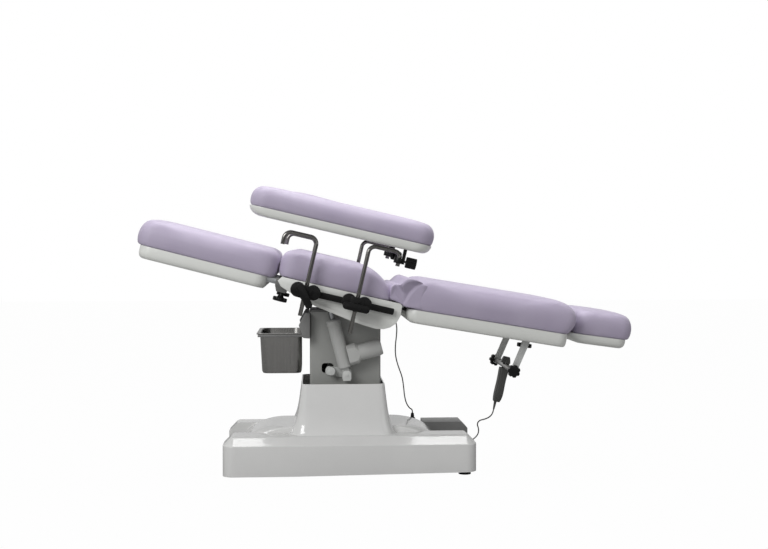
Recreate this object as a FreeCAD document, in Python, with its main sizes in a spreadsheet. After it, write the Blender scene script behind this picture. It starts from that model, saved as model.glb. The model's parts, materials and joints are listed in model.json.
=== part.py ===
"""Gynaecological examination table with a lifting column, tilting seat, raising back and side fittings.

Millimetres, +Z up. The head end points to +X and the leg end to -X. The origin lies on the floor under
the middle of the table's outer box. The pieces are modelled round the column's mid-plane and moved there
when they are written. The seat is modelled level in its own frame and then tilted about the tilt shaft.
"""
import FreeCAD, Part
import math
import os
import re
import Sketcher

os.makedirs("parts", exist_ok=True)
document = FreeCAD.newDocument("examination_table")
sheet = document.addObject("Spreadsheet::Sheet", "Sizes")

# Driving dimensions, one cell each
SIZES = (
    # Moulded base cover and its two rails
    ("rail_left", -609), ("rail_right", 363), ("rail_inner", 129), ("rail_outer", 258), ("rail_top", 158),
    ("rail_edge", 34), ("rail_crest", 22), ("rail_brim", 3), ("rail_corner", 42), ("cover_bottom", 8), ("cover_wall", 4), ("far_rail_right", 190),
    ("dome_left", -560), ("dome_right", 238), ("dome_top", 182), ("skirt_left", -309), ("skirt_right", 12),
    ("skirt_half", 185), ("skirt_top", 350), ("skirt_flare", 62), ("foot_lift", 14),
    # Base frame and feet
    ("frame_half", 195), ("frame_tube", 40), ("frame_left", -590), ("frame_right", 345),
    ("frame_bottom", 22), ("foot_radius", 24), ("foot_height", 9), ("stem_radius", 6), ("foot_left", -545),
    ("foot_right", 322),
    # Control box
    ("box_gap", 2), ("box_right", 377), ("box_top", 152), ("box_slope", 26), ("sheet_wall", 2),
    # Lifting column
    ("mast_x", -138.5), ("mast_side", 130), ("mast_wall", 5), ("mast_bottom", 36), ("guide_play", 0.3),
    ("guide_wall", 6), ("guide_top", 400), ("sleeve_long", 277), ("sleeve_wide", 230), ("sleeve_top", 625),
    ("sleeve_bottom", 60), ("sleeve_corner", 9), ("head_plate", 8), ("cheek_half", 100), ("cheek_thick", 8),
    # Tilt shaft and seat frame, in the seat's own frame
    ("pivot_x", -60), ("pivot_z", 655), ("tilt_angle", 13), ("shaft_radius", 10), ("shaft_half", 226),
    ("shaft_play", 0.05), ("seat_tube_top", 38), ("seat_tube_high", 24), ("seat_tube_wide", 26),
    ("seat_tube_half", 209), ("seat_left", -330), ("seat_right", 104), ("lug_radius", 24), ("lug_thick", 12),
    # Seat shell and cushion
    ("table_half", 290), ("shell_wall", 8), ("shell_left", -350), ("shell_right", 130), ("recess", 4),
    # Side rails
    ("side_rail_left", -275), ("side_rail_right", 100), ("side_rail_high", 24), ("side_rail_thick", 10),
    ("side_rail_mid", 3), ("side_rail_inner", 302), ("post_radius", 6), ("post_left", -142),
    ("post_right", 62),
    # Clamps, rods and handles
    ("rod_radius", 8), ("rod_play", 0.06), ("rod_half", 335), ("clamp_half", 25), ("lobe_radius", 28),
    ("lobe_reach", 29), ("clamp_out", 351), ("rail_play", 0.4), ("left_clamp", -240), ("right_clamp", -45),
    ("tee_half", 50), ("tee_high", 27), ("tee_thick", 24), ("tee_stem", 7), ("tee_drop", -10),
    ("hook_high", 208), ("hook_low", -87), ("hook_run", 122), ("hook_tip", 158), ("rod_bend", 26),
    ("arm_high", 226), ("arm_low", -111), ("arm_run", 117), ("arm_tip", 173), ("far_arm_raise", 22),
    ("far_swing", 40),
    # Padded rests
    ("rest_left", -584), ("rest_right", 106), ("rest_half", 70), ("rest_out", 31), ("rest_bottom", 240),
    ("rest_seam", 272), ("rest_top", 350), ("socket_radius", 18), ("socket_bottom", 184),
    ("socket_top", 205), ("rest_knob_radius", 21), ("rest_knob_long", 40),
    # Leg section, in its own frame
    ("leg_axis_u", -326), ("leg_axis_w", 14), ("leg_angle", 14.3),
    ("leg_board_left", -556), ("leg_board_right", -64), ("leg_seam", 10),
    ("leg_board_bottom", -38), ("prong_side", 20), ("prong_half", 240),
    ("prong_left", -200), ("prong_right", 150), ("socket_left", -31), ("socket_right", 95),
    ("socket_wall", 5), ("prong_play", 0.2), ("star_radius", 28), ("star_high", 15), ("star_drop", 70),
    ("star_stem", 5),
    # Back section, in its own frame with the hinge axis as its origin
    ("hinge_u", 135), ("hinge_w", 30), ("back_angle", 9.4), ("back_seam", -5.5),
    ("back_board_right", 642), ("back_board_left", 20), ("back_board_bottom", -57),
    ("back_tube_half", 205), ("back_tube_wide", 24), ("back_tube_high", 25), ("back_tube_left", 40),
    ("back_tube_right", 540), ("hinge_radius", 7), ("hinge_eye", 15), ("lever_x", -27.7),
    ("lever_z", -53.2), ("back_drive_y", 150), ("drive_pin", 6), ("back_drive_u", -150),
    ("back_drive_w", -44), ("back_drive_aim", -26.8), ("drive_tube", 16), ("drive_rod", 8), ("drive_tube_long", 180),
    ("roll_x", 465), ("roll_z", -180), ("roll_radius", 10), ("roll_over", 7),
    ("roll_knob_radius", 24.5), ("roll_knob_wide", 26),
    # Headrest, in its own frame
    ("head_origin_x", 640), ("head_origin_z", -30), ("head_angle", 7.8), ("head_left", 34),
    ("head_right", 268), ("head_half", 220), ("head_seam", 30), ("head_board_left", 16),
    ("head_board_right", 250), ("head_board_bottom", -6), ("head_prong_half", 90), ("head_prong_side", 16),
    ("head_prong_left", -200), ("head_prong_right", 150), ("head_knob_x", -108), ("head_knob_radius", 30),
    ("head_prong_z", 8), ("head_plate_long", 100), ("head_travel", 80),
    # Tilt actuator
    ("drive_foot_x", -134), ("drive_foot_z", 384), ("drive_eye_u", -157), ("drive_y", -150),
    ("tilt_tube", 27), ("tilt_tube_start", 26), ("tilt_tube_end", 220), ("tilt_rod", 10),
    ("motor_radius", 32), ("motor_reach", 158), ("motor_along", 70), ("eye_play", 2.5), ("eye_radius", 13),
    ("eye_half", 14),
    # Basin
    ("pan_left", -483), ("pan_right", -305), ("pan_half", 162), ("pan_top", 545), ("pan_deep", 156),
    ("pan_wall", 1.5), ("pan_rim", 12), ("hanger_radius", 5), ("hanger_left", -478),
    # Handset
    ("handset_deep", 34), ("handset_wide", 52), ("handset_long", 186), ("handset_top", 36), ("handset_lean", 12),
    ("hook_play", 0.5), ("hook_parting", 0.1),
    # Middle of the table's outer box, which the origin is moved under
    ("middle_x", 25), ("middle_y", 9.3),
)


def fill_sheet():
    """Writes each driving dimension to its own named cell."""
    for row, (name, value) in enumerate(SIZES, start=1):
        sheet.set("A%d" % row, name)
        sheet.set("B%d" % row, str(value))
        sheet.setAlias("B%d" % row, name)
    document.recompute()


def size(text):
    """Value of a size, or of a sum of sizes, as a number."""
    return float(sheet.evalExpression(text))


def bound(text):
    """The same sum with each size tied to its cell."""
    return re.sub(r"[a-z][a-z_]+", lambda word: "Sizes." + word.group(), text)


def placed(x=0.0, y=0.0, z=0.0, angle=0.0, axis=(0, 1, 0)):
    """A place with a turn about the given axis, in degrees."""
    return FreeCAD.Placement(FreeCAD.Vector(x, y, z), FreeCAD.Rotation(FreeCAD.Vector(*axis), angle))


fill_sheet()
WORLD = placed()
SEAT = placed(size("pivot_x"), 0, size("pivot_z"), size("tilt_angle"))
LEG = SEAT * placed(size("leg_axis_u"), 0, size("leg_axis_w"), size("leg_angle - tilt_angle"))
BACK = SEAT * placed(size("hinge_u"), 0, size("hinge_w"), size("back_angle - tilt_angle"))
HEAD = BACK * placed(size("head_origin_x"), 0, size("head_origin_z"), size("head_angle - back_angle"))
NODES = []
SIDES = (("near", -1), ("far", 1))


def keep(item, name):
    """Names a sub-part and puts it on the list of files to write."""
    item.Label = name
    NODES.append(item)
    return item


def origin_plane(body, role):
    """One of a body's own origin planes."""
    return [feature for feature in body.Origin.OriginFeatures if feature.Role == role][0]


def new_sketch(body, role):
    """An empty sketch on one of a body's origin planes."""
    sketch = body.newObject("Sketcher::SketchObject", body.Name + "_outline")
    sketch.AttachmentSupport = [(origin_plane(body, role), "")]
    sketch.MapMode = "FlatFace"
    return sketch


def tie(sketch, kind, geometry, point, text):
    """Ties one coordinate of a sketch point to the sheet."""
    index = sketch.addConstraint(Sketcher.Constraint(kind, -1, 1, geometry, point, size(text)))
    sketch.setExpression("Constraints[%d]" % index, bound(text))


def add_polygon(sketch, corners):
    """Adds a closed outline whose corners are sums of sizes."""
    values = [FreeCAD.Vector(size(x), size(y), 0) for x, y in corners]
    count = len(corners)
    for index in range(count):
        sketch.addGeometry(Part.LineSegment(values[index], values[(index + 1) % count]))
    for index in range(count):
        sketch.addConstraint(Sketcher.Constraint("Coincident", index, 2, (index + 1) % count, 1))
    for index, (x, y) in enumerate(corners):
        tie(sketch, "DistanceX", index, 1, x)
        tie(sketch, "DistanceY", index, 1, y)


def add_circle(sketch, x, y, radius):
    """Adds a circle whose centre and radius are sums of sizes."""
    centre = FreeCAD.Vector(size(x), size(y), 0)
    index = sketch.addGeometry(Part.Circle(centre, FreeCAD.Vector(0, 0, 1), size(radius)))
    tie(sketch, "DistanceX", index, 3, x)
    tie(sketch, "DistanceY", index, 3, y)
    count = sketch.addConstraint(Sketcher.Constraint("Radius", index, size(radius)))
    sketch.setExpression("Constraints[%d]" % count, bound(radius))


def prism(name, corners, depth, place, role="XZ_Plane", rounding=(), holes=()):
    """A body padded both ways from an outline, with rounded corners and round holes through it."""
    body = document.addObject("PartDesign::Body", name)
    sketch = new_sketch(body, role)
    add_polygon(sketch, corners)
    pad = body.newObject("PartDesign::Pad", name + "_pad")
    pad.Profile = sketch
    pad.SideType = "Symmetric"
    pad.setExpression("Length", bound(depth))
    document.recompute()
    for radius, chosen in rounding:
        base = body.Tip
        names = corner_edges(base.Shape, role, [corners[index] for index in chosen])
        fillet = body.newObject("PartDesign::Fillet", name + "_round")
        fillet.Base = (base, names)
        fillet.setExpression("Radius", bound(radius))
        document.recompute()
    if holes:
        bores = new_sketch(body, role)
        for x, y, radius in holes:
            add_circle(bores, x, y, radius)
        pocket = body.newObject("PartDesign::Pocket", name + "_bores")
        pocket.Profile = bores
        pocket.SideType = "Symmetric"
        pocket.setExpression("Length", bound(depth) + " * 2")
        document.recompute()
    body.Placement = place
    return body


def flat_point(point, role):
    """The two sketch coordinates of a point on an origin plane."""
    if role == "XZ_Plane":
        return point.x, point.z
    if role == "YZ_Plane":
        return point.y, point.z
    return point.x, point.y


def corner_edges(shape, role, corners):
    """Names of the straight edges that run through the given corners of an outline."""
    found = []
    for index, edge in enumerate(shape.Edges, start=1):
        first = flat_point(edge.Vertexes[0].Point, role)
        last = flat_point(edge.Vertexes[-1].Point, role)
        if math.dist(first, last) > 0.001:
            continue
        for x, y in corners:
            if math.dist(first, (size(x), size(y))) < 0.01:
                found.append("Edge%d" % index)
    return found


def turned(name, corners, place, role="XZ_Plane"):
    """A body turned about the vertical axis of its sketch."""
    body = document.addObject("PartDesign::Body", name)
    sketch = new_sketch(body, role)
    add_polygon(sketch, corners)
    spin = body.newObject("PartDesign::Revolution", name + "_turn")
    spin.Profile = sketch
    spin.ReferenceAxis = (sketch, ["V_Axis"])
    spin.Angle = 360
    document.recompute()
    body.Placement = place
    return body


def box(name, corner, lengths, place=WORLD):
    """A box with its lowest corner and its three lengths given as sums of sizes."""
    item = document.addObject("Part::Box", name)
    for label, text in zip(("Length", "Width", "Height"), lengths):
        item.setExpression(label, bound(text))
    item.Placement = place * placed(*[size(text) for text in corner])
    return item


def cylinder(name, radius, height, place=WORLD):
    """A cylinder along the local vertical."""
    item = document.addObject("Part::Cylinder", name)
    item.setExpression("Radius", bound(radius))
    item.setExpression("Height", bound(height))
    item.Placement = place
    return item


def joined(name, items):
    """One solid, or one group, from several items."""
    item = document.addObject("Part::MultiFuse", name)
    item.Shapes = items
    item.Refine = True
    return item


def without(name, base, tool):
    """The base with the tool cut away."""
    item = document.addObject("Part::Cut", name)
    item.Base = base
    item.Tool = tool
    item.Refine = True
    return item


def feature(name, shape, place=WORLD):
    """An item whose shape is worked out here from the sheet's sizes."""
    item = document.addObject("Part::Feature", name)
    item.Shape = shape
    item.Placement = place
    return item


def ring(left, right, half_near, half_far, radius, height):
    """A rounded rectangle at one height, as a closed wire."""
    corners = ((left, -half_near), (right, -half_near), (right, half_far), (left, half_far))
    limit = min(right - left, half_near + half_far) / 2 - 1
    radius = min(radius, limit)
    edges = []
    turns = ((1, 0), (0, 1), (-1, 0), (0, -1))
    for index, (x, y) in enumerate(corners):
        dx, dy = turns[index]
        back_x, back_y = turns[index - 1]
        following = corners[(index + 1) % 4]
        start = FreeCAD.Vector(x - back_x * radius, y - back_y * radius, height)
        end = FreeCAD.Vector(x + dx * radius, y + dy * radius, height)
        centre = FreeCAD.Vector(start.x + dx * radius, start.y + dy * radius, height)
        middle = centre - (end - centre + start - centre).normalize() * -radius
        edges.append(Part.Arc(start, middle, end).toShape())
        stop = FreeCAD.Vector(following[0] - dx * radius, following[1] - dy * radius, height)
        edges.append(Part.LineSegment(end, stop).toShape())
    return Part.Wire(edges)


def lofted(rings, ruled=False):
    """A closed solid through several rounded rectangles."""
    return Part.makeLoft([ring(*values) for values in rings], True, ruled)


def swept_tube(points, radius, bends):
    """A round rod along straight runs joined by tangent arcs."""
    edges = []
    start = points[0]
    for index in range(1, len(points) - 1):
        before = (points[index - 1] - points[index]).normalize()
        after = (points[index + 1] - points[index]).normalize()
        turn = math.pi - before.getAngle(after)
        trim = bends[index - 1] * math.tan(turn / 2)
        first = points[index] + before * trim
        last = points[index] + after * trim
        inward = (before + after).normalize()
        reach = bends[index - 1] / math.cos(turn / 2) - bends[index - 1]
        edges.append(Part.LineSegment(start, first).toShape())
        edges.append(Part.Arc(first, points[index] + inward * reach, last).toShape())
        start = last
    edges.append(Part.LineSegment(start, points[-1]).toShape())
    path = Part.Wire(edges)
    heading = (points[1] - points[0]).normalize()
    section = Part.Wire([Part.Circle(points[0], heading, radius).toShape()])
    return path.makePipeShell([section], True, False), path.Length


def cord_tube(points, radius):
    """A cord's tube with arcs as large as its runs allow; prints its smallest radius and its volume."""
    vectors = [FreeCAD.Vector(*point) for point in points]
    bends = []
    for index in range(1, len(vectors) - 1):
        before = vectors[index - 1] - vectors[index]
        after = vectors[index + 1] - vectors[index]
        half_turn = (math.pi - before.getAngle(after)) / 2
        bends.append(0.45 * min(before.Length, after.Length) / math.tan(half_turn))
    shape, length = swept_tube(vectors, radius, bends)
    share = shape.Volume / (math.pi * radius ** 2 * length)
    print("cord radii", [round(bend) for bend in bends], "length", round(length), "volume", round(share, 4))
    return shape


def base_cover():
    """The moulded cover: two rounded rails, a domed centre and a flared skirt, as one thin shell."""
    def form(inset):
        wall = size("cover_wall") * inset
        left = size("rail_left") + wall
        inner = size("rail_inner") + wall
        outer = size("rail_outer") - wall
        bottom = size("cover_bottom") - inset * 4
        top = size("rail_top") - wall
        pieces = []
        for side, right in ((-1, size("rail_right")), (1, size("far_rail_right"))):
            length = right - wall - left
            start = inner if side > 0 else -outer
            rail = Part.makeBox(length, outer - inner, top - bottom, FreeCAD.Vector(left, start, bottom))
            upright = [edge for edge in rail.Edges if abs(edge.tangentAt(edge.FirstParameter).z) > 0.99
                       and side * edge.CenterOfMass.y > outer - 1]
            rail = rail.makeFillet(size("rail_corner") - wall, upright)
            upper = [edge for edge in rail.Edges if edge.CenterOfMass.z > top - 0.01
                     and side * edge.CenterOfMass.y > inner + 1]
            slope = size("rail_edge") - wall * 0.6
            rail = rail.makeChamfer(slope, upper)
            crest = [edge for edge in rail.Edges if edge.BoundBox.ZMin > top - 0.01
                     and side * edge.CenterOfMass.y > inner + 1]
            brim = [edge for edge in rail.Edges if abs(edge.CenterOfMass.z - top + slope) < 0.01
                    and edge.BoundBox.ZLength < 0.01 and side * edge.CenterOfMass.y > inner + 1]
            rail = rail.makeFillet(size("rail_crest"), crest)
            pieces.append(rail.makeFillet(size("rail_brim"), brim) if not inset else rail)
        half = size("rail_inner") + (20 if inset else 1)
        side = size("rail_inner") + 1 - wall
        dome_left = size("dome_left") + wall
        dome_right = size("dome_right") - wall
        dome_top = size("dome_top") - wall
        step = size("rail_top") - 60 - wall
        pieces.append(lofted(((dome_left, dome_right, half, half, 44, bottom),
                              (dome_left, dome_right, half, half, 44, step)), True))
        pieces.append(lofted(((dome_left, dome_right, side, side, 44, step),
                              (dome_left + 52, dome_right - 42, side + 20, side + 20, 60, step + 54),
                              (dome_left + 130, dome_right - 125, side + 16, side + 16, 60, dome_top))))
        skirt_left = size("skirt_left") + wall
        skirt_right = size("skirt_right") - wall
        skirt_half = size("skirt_half") - wall
        skirt_top = size("skirt_top") + inset
        flare = size("skirt_flare")
        rings = []
        for share, spread in ((0.0, 1.0), (0.12, 0.62), (0.3, 0.36), (0.62, 0.16), (1.0, 0.0)):
            height = size("rail_top") - 14 - wall + share * (skirt_top - size("rail_top") + 14 + wall)
            grow = flare * spread
            rings.append((skirt_left - grow, skirt_right + grow, skirt_half + grow * 0.75,
                          skirt_half + grow * 0.75, 24 + grow * 0.8, height))
        pieces.append(lofted(rings))
        return pieces[0].fuse(pieces[1:])

    shell = form(0).cut(form(1))
    length = size("rail_right - rail_left") + 40
    lift = math.degrees(math.atan2(size("foot_lift"), length))
    wedge = Part.makeBox(length, 2 * size("rail_outer") + 40, 40)
    wedge.Placement = placed(size("rail_left") - 20, -size("rail_outer") - 20, -40 + 4, -lift)
    shell = shell.cut(wedge)
    tube = size("frame_tube") + 1
    passage = Part.makeBox(40, tube, tube, FreeCAD.Vector(size("far_rail_right") - 20, size("frame_half") - tube / 2,
                                                          size("frame_bottom") - 0.5))
    corner = Part.makeBox(60, 60, 200, FreeCAD.Vector(size("far_rail_right") + 1, size("rail_inner") + 1.5, 0))
    shell = shell.cut([passage, corner])
    return keep(feature("base_cover", shell), "base_cover")


def base_frame():
    """Two long tubes, two cross tubes and the plate that carries the column's guide."""
    tubes = []
    half = "frame_half"
    side = "frame_tube"
    for name, sign in SIDES:
        y = ("%s - %s / 2" % (half, side)) if sign > 0 else ("-%s - %s / 2" % (half, side))
        tubes.append(box("frame_tube_" + name, ("frame_left", y, "frame_bottom"),
                         ("frame_right - frame_left", side, side)))
    for index, x in enumerate(("skirt_left - 46", "skirt_right + 6")):
        tubes.append(box("frame_cross_%d" % index, (x, "-frame_half", "frame_bottom"),
                         (side, "2 * frame_half", side)))
    tubes.append(box("mast_plate", ("skirt_left - 10", "-mast_side", "frame_bottom"),
                     ("skirt_right - skirt_left + 20", "2 * mast_side", "10")))
    return keep(joined("base_frame", tubes), "base_frame")


def levelling_feet():
    """Four rubber feet with steel stems under the frame tubes."""
    feet = []
    for end in ("left", "right"):
        for name, sign in SIDES:
            pad = turned("foot_%s_%s" % (end, name),
                         (("0", "0"), ("foot_radius", "0"), ("foot_radius", "foot_height * 0.5"),
                          ("foot_radius * 0.7", "foot_height"), ("stem_radius", "foot_height"),
                          ("stem_radius", "frame_bottom"), ("0", "frame_bottom")),
                         placed(size("foot_" + end), sign * size("frame_half"), 0))
            feet.append(pad)
    group = document.addObject("Part::Compound", "feet_group")
    group.Links = feet
    return keep(group, "levelling_feet")


def control_box():
    """Folded sheet box on the end of the far rail, slanted at its outer top edge, over the frame tube."""
    left = "far_rail_right + box_gap"
    bottom = "cover_bottom + foot_lift + 2"
    body = prism("control_box_body",
                 ((left, bottom), ("box_right", bottom), ("box_right", "box_top - box_slope"),
                  ("box_right - box_slope", "box_top"), (left, "box_top")),
                 "rail_outer - rail_inner - 4", placed(0, size("rail_outer + rail_inner") / 2, 0),
                 rounding=(("4", (2, 3)),))
    slot = box("control_box_slot", (left + " - 5", "frame_half - frame_tube / 2 - 0.5", "0"),
               ("frame_right - far_rail_right + 6", "frame_tube + 1", "frame_bottom + frame_tube + 0.5"))
    return keep(without("control_box", body, slot), "control_box")


def cable_glands():
    """Stepped glands where the two cords enter the base."""
    group = []
    profile = (("0", "0"), ("12", "0"), ("12", "4"), ("8", "6"), ("6", "24"), ("0", "24"))
    for name, spot in (("seat", placed(SEAT_CORD[-1][0], SEAT_CORD[-1][1], size("rail_top"))),
                       ("handset", placed(HANDSET_CORD[-1][0], size("rail_inner") + 2, HANDSET_CORD[-1][2], 90,
                                          (1, 0, 0)))):
        group.append(turned("gland_" + name, profile, spot))
    glands = document.addObject("Part::Compound", "gland_group")
    glands.Links = group
    return keep(glands, "cable_glands")


def square_tube(name, side, wall, bottom, top, x):
    """An upright square tube round the mast's centre line."""
    outer = box(name + "_outer", ("%s - (%s) / 2" % (x, side), "-(%s) / 2" % side, bottom),
                (side, side, "%s - %s" % (top, bottom)))
    inner_side = "(%s) - 2 * %s" % (side, wall)
    inner = box(name + "_inner", ("%s - (%s) / 2" % (x, inner_side), "-(%s) / 2" % inner_side, bottom + " - 5"),
                (inner_side, inner_side, "%s - %s + 10" % (top, bottom)))
    return keep(without(name, outer, inner), name)


def column_cover():
    """Grey sheet sleeve round the mast, with a rounded window in its near face."""
    left = size("mast_x - sleeve_long / 2")
    right = size("mast_x + sleeve_long / 2")
    half = size("sleeve_wide") / 2
    corner = size("sleeve_corner")
    wall = size("sheet_wall")
    bottom = size("sleeve_bottom")
    top = size("sleeve_top")
    outer = lofted(((left, right, half, half, corner, bottom), (left, right, half, half, corner, top)), True)
    inner = lofted(((left + wall, right - wall, half - wall, half - wall, corner - wall, bottom - 1),
                    (left + wall, right - wall, half - wall, half - wall, corner - wall, top + 1)), True)
    window = Part.makeBox(46, 30, 38, FreeCAD.Vector(left + 46, -half - 15, 387))
    window = window.makeFillet(12, [edge for edge in window.Edges
                                    if abs(edge.tangentAt(edge.FirstParameter).y) > 0.99])
    return keep(feature("column_cover", outer.cut(inner).cut(window)), "column_cover")


def tilt_head():
    """Plate on the mast with two cheeks that hold the tilt shaft."""
    left = "mast_x - sleeve_long / 2"
    right = "mast_x + sleeve_long / 2"
    base = "sleeve_top"
    plate = box("head_plate_solid", (left, "-sleeve_wide / 2", base), ("sleeve_long", "sleeve_wide", "head_plate"))
    items = [plate]
    for name, sign in SIDES:
        items.append(prism("cheek_" + name,
                           ((left + " + 30", base + " + head_plate"), (right + " - 12", base + " + head_plate"),
                            ("pivot_x + 24", "pivot_z + 26"), ("pivot_x - 24", "pivot_z + 26")),
                           "cheek_thick", placed(0, sign * size("cheek_half"), 0), rounding=(("14", (2, 3)),)))
    solid = joined("head_solid", items)
    bore = cylinder("head_bore", "shaft_radius", "sleeve_wide + 20",
                    placed(size("pivot_x"), size("sleeve_wide / 2 + 10"), size("pivot_z"), 90, (1, 0, 0)))
    return keep(without("tilt_head", solid, bore), "tilt_head")


def tilt_shaft():
    """The shaft on which the seat tilts."""
    shaft = cylinder("tilt_shaft", "shaft_radius", "2 * shaft_half",
                     placed(size("pivot_x"), size("shaft_half"), size("pivot_z"), 90, (1, 0, 0)))
    return keep(shaft, "tilt_shaft")


def actuator_bracket():
    """Off-white lever plate on the column with the lower pin of the tilt actuator and a round pin head."""
    face = "sleeve_wide / 2"
    foot_x = size("drive_foot_x")
    foot_z = size("drive_foot_z")
    plate = prism("bracket_plate",
                  (("drive_foot_x - 84", "drive_foot_z - 3"), ("drive_foot_x + 18", "drive_foot_z - 20"),
                   ("drive_foot_x + 20", "drive_foot_z + 18"), ("drive_foot_x - 80", "drive_foot_z + 31")),
                  "6", placed(0, -size(face) - 3, 0), rounding=(("14", (0, 1, 2, 3)),))
    ears = []
    for index, y in enumerate((size("drive_y") - 20, size("drive_y") + 20)):
        ears.append(prism("bracket_ear_%d" % index,
                          (("drive_foot_x - 17", "drive_foot_z - 18"), ("drive_foot_x + 17", "drive_foot_z - 18"),
                           ("drive_foot_x + 17", "drive_foot_z + 16"), ("drive_foot_x - 17", "drive_foot_z + 16")),
                          "5", placed(0, y, 0), rounding=(("13", (2, 3)), ("4", (0, 1)))))
    web = box("bracket_web", ("drive_foot_x - 14", "drive_y - 22.5", "drive_foot_z - 23"),
              ("28", "-drive_y + 22.5 - " + face, "5"))
    pin = cylinder("bracket_pin", "drive_pin", "54", placed(foot_x, size("drive_y") + 29, foot_z, 90, (1, 0, 0)))
    head = cylinder("bracket_head", "16", "38", placed(foot_x - 61, -size(face) - 2, foot_z + 13, 90, (1, 0, 0)))
    return keep(joined("actuator_bracket", [plate, web, pin, head] + ears), "actuator_bracket")


def basin_bracket():
    """Grey plates beside the column with two rods along which the basin hangs."""
    back = "mast_x - sleeve_long / 2"
    items = [box("hanger_back", (back + " - 4", "-pan_half + 3", "pan_top - 20"),
                 ("4", "2 * pan_half - 6", "96"))]
    for name, sign in SIDES:
        items.append(prism("hanger_wing_" + name,
                           ((back + " - 4", "pan_top - 20"), (back + " - 27", "pan_top - 18"),
                            (back + " - 43", "pan_top + 32"), (back + " - 18", "sleeve_top - 1"),
                            (back + " - 4", "sleeve_top - 1")),
                           "4", placed(0, sign * size("pan_half - 5"), 0), rounding=(("5", (1, 2)),)))
        items.append(cylinder("hanger_rod_" + name, "hanger_radius", "pan_right - hanger_left + 10",
                              placed(size("pan_right + 10"), sign * size("pan_half - 7"),
                                     size("pan_top - 4 - hanger_radius"), -90)))
    return keep(joined("basin_bracket", items), "basin_bracket")


def basin():
    """Deep stainless pan with a flat rim."""
    left = size("pan_left")
    right = size("pan_right")
    half = size("pan_half")
    top = size("pan_top")
    deep = size("pan_deep")
    wall = size("pan_wall")
    rim = size("pan_rim")
    lip = lofted(((left, right, half, half, 20, top - 4), (left, right, half, half, 20, top)), True)

    def well(inset, bottom, upper):
        return lofted(((left + rim + 12 + inset, right - rim + 5 - inset, half - rim - 10 - inset,
                        half - rim - 10 - inset, 30 - inset, bottom),
                       (left + rim + 8 + inset, right - rim + 8 - inset, half - rim - 6 - inset,
                        half - rim - 6 - inset, 32 - inset, bottom + 8),
                       (left + rim + inset, right - rim + 8 - inset, half - rim - 2 - inset,
                        half - rim - 2 - inset, 34 - inset, upper)), True)

    pan = lip.fuse(well(0, top - deep, top)).cut(well(wall, top - deep + wall, top + 2))
    return keep(feature("basin", pan), "basin")


def actuator_place():
    """Frame of the tilt actuator: origin at its lower pin, local vertical towards the seat's pin."""
    eye = SEAT.multVec(FreeCAD.Vector(size("drive_eye_u"), 0, 0))
    foot = FreeCAD.Vector(size("drive_foot_x"), 0, size("drive_foot_z"))
    reach = eye - foot
    lean = math.degrees(math.atan2(reach.x, reach.z))
    return placed(foot.x, size("drive_y"), foot.z, lean), reach.Length


def tilt_actuator():
    """Tube with collar and foot eye, its motor housing, and the piston rod with its eye."""
    place, reach = actuator_place()
    tube = turned("actuator_barrel",
                  (("tilt_rod + 0.4", "tilt_tube_start + 14"), ("0", "tilt_tube_start + 14"),
                   ("0", "tilt_tube_start"), ("tilt_tube - 5", "tilt_tube_start"),
                   ("tilt_tube - 1", "tilt_tube_start + 5"), ("tilt_tube - 1", "tilt_tube_end - 22"),
                   ("tilt_tube + 1", "tilt_tube_end - 20"), ("tilt_tube + 1", "tilt_tube_end - 6"),
                   ("tilt_tube - 5", "tilt_tube_end"), ("tilt_rod + 0.4", "tilt_tube_end")), place)
    eye = prism("actuator_foot",
                (("-13", "-13"), ("13", "-13"), ("13", "tilt_tube_start + 1"), ("-13", "tilt_tube_start + 1")),
                "2 * eye_half", place, rounding=(("12.5", (0, 1)),),
                holes=(("0", "0", "drive_pin + 0.05"),))
    keep(joined("tilt_actuator_tube", [tube, eye]), "tilt_actuator_tube")
    across = place * placed(0, 0, size("motor_along"), 90)
    shell = turned("motor_shell",
                   (("0", "tilt_tube - 4"), ("motor_radius + 9", "tilt_tube - 4"),
                    ("motor_radius + 9", "tilt_tube + 30"), ("motor_radius", "tilt_tube + 42"),
                    ("motor_radius", "motor_reach - 14"), ("motor_radius - 4", "motor_reach"),
                    ("0", "motor_reach")), across)
    flat = box("motor_flat", ("-60", "motor_radius", "0"), ("120", "30", "motor_reach + 10"), across)
    other = box("motor_flat_near", ("-60", "-motor_radius - 30", "0"), ("120", "30", "motor_reach + 10"), across)
    bore = cylinder("motor_bore", "tilt_tube - 1", "tilt_tube_end + 40", place * placed(0, 0, -20))
    trimmed = without("motor_trimmed", shell, joined("motor_sides", [flat, other, bore]))
    keep(trimmed, "tilt_actuator_motor")
    rod = cylinder("actuator_rod", "tilt_rod", "%f - 102" % reach, place * placed(0, 0, 92))
    head = cylinder("actuator_head", "eye_radius", "2 * eye_half",
                    place * placed(0, size("eye_half"), reach, 90, (1, 0, 0)))
    hole = cylinder("actuator_eye", "drive_pin + eye_play", "4 * eye_half",
                    place * placed(0, 2 * size("eye_half"), reach, 90, (1, 0, 0)))
    keep(without("tilt_actuator_rod", joined("actuator_rod_solid", [rod, head]), hole), "tilt_actuator_rod")


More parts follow.
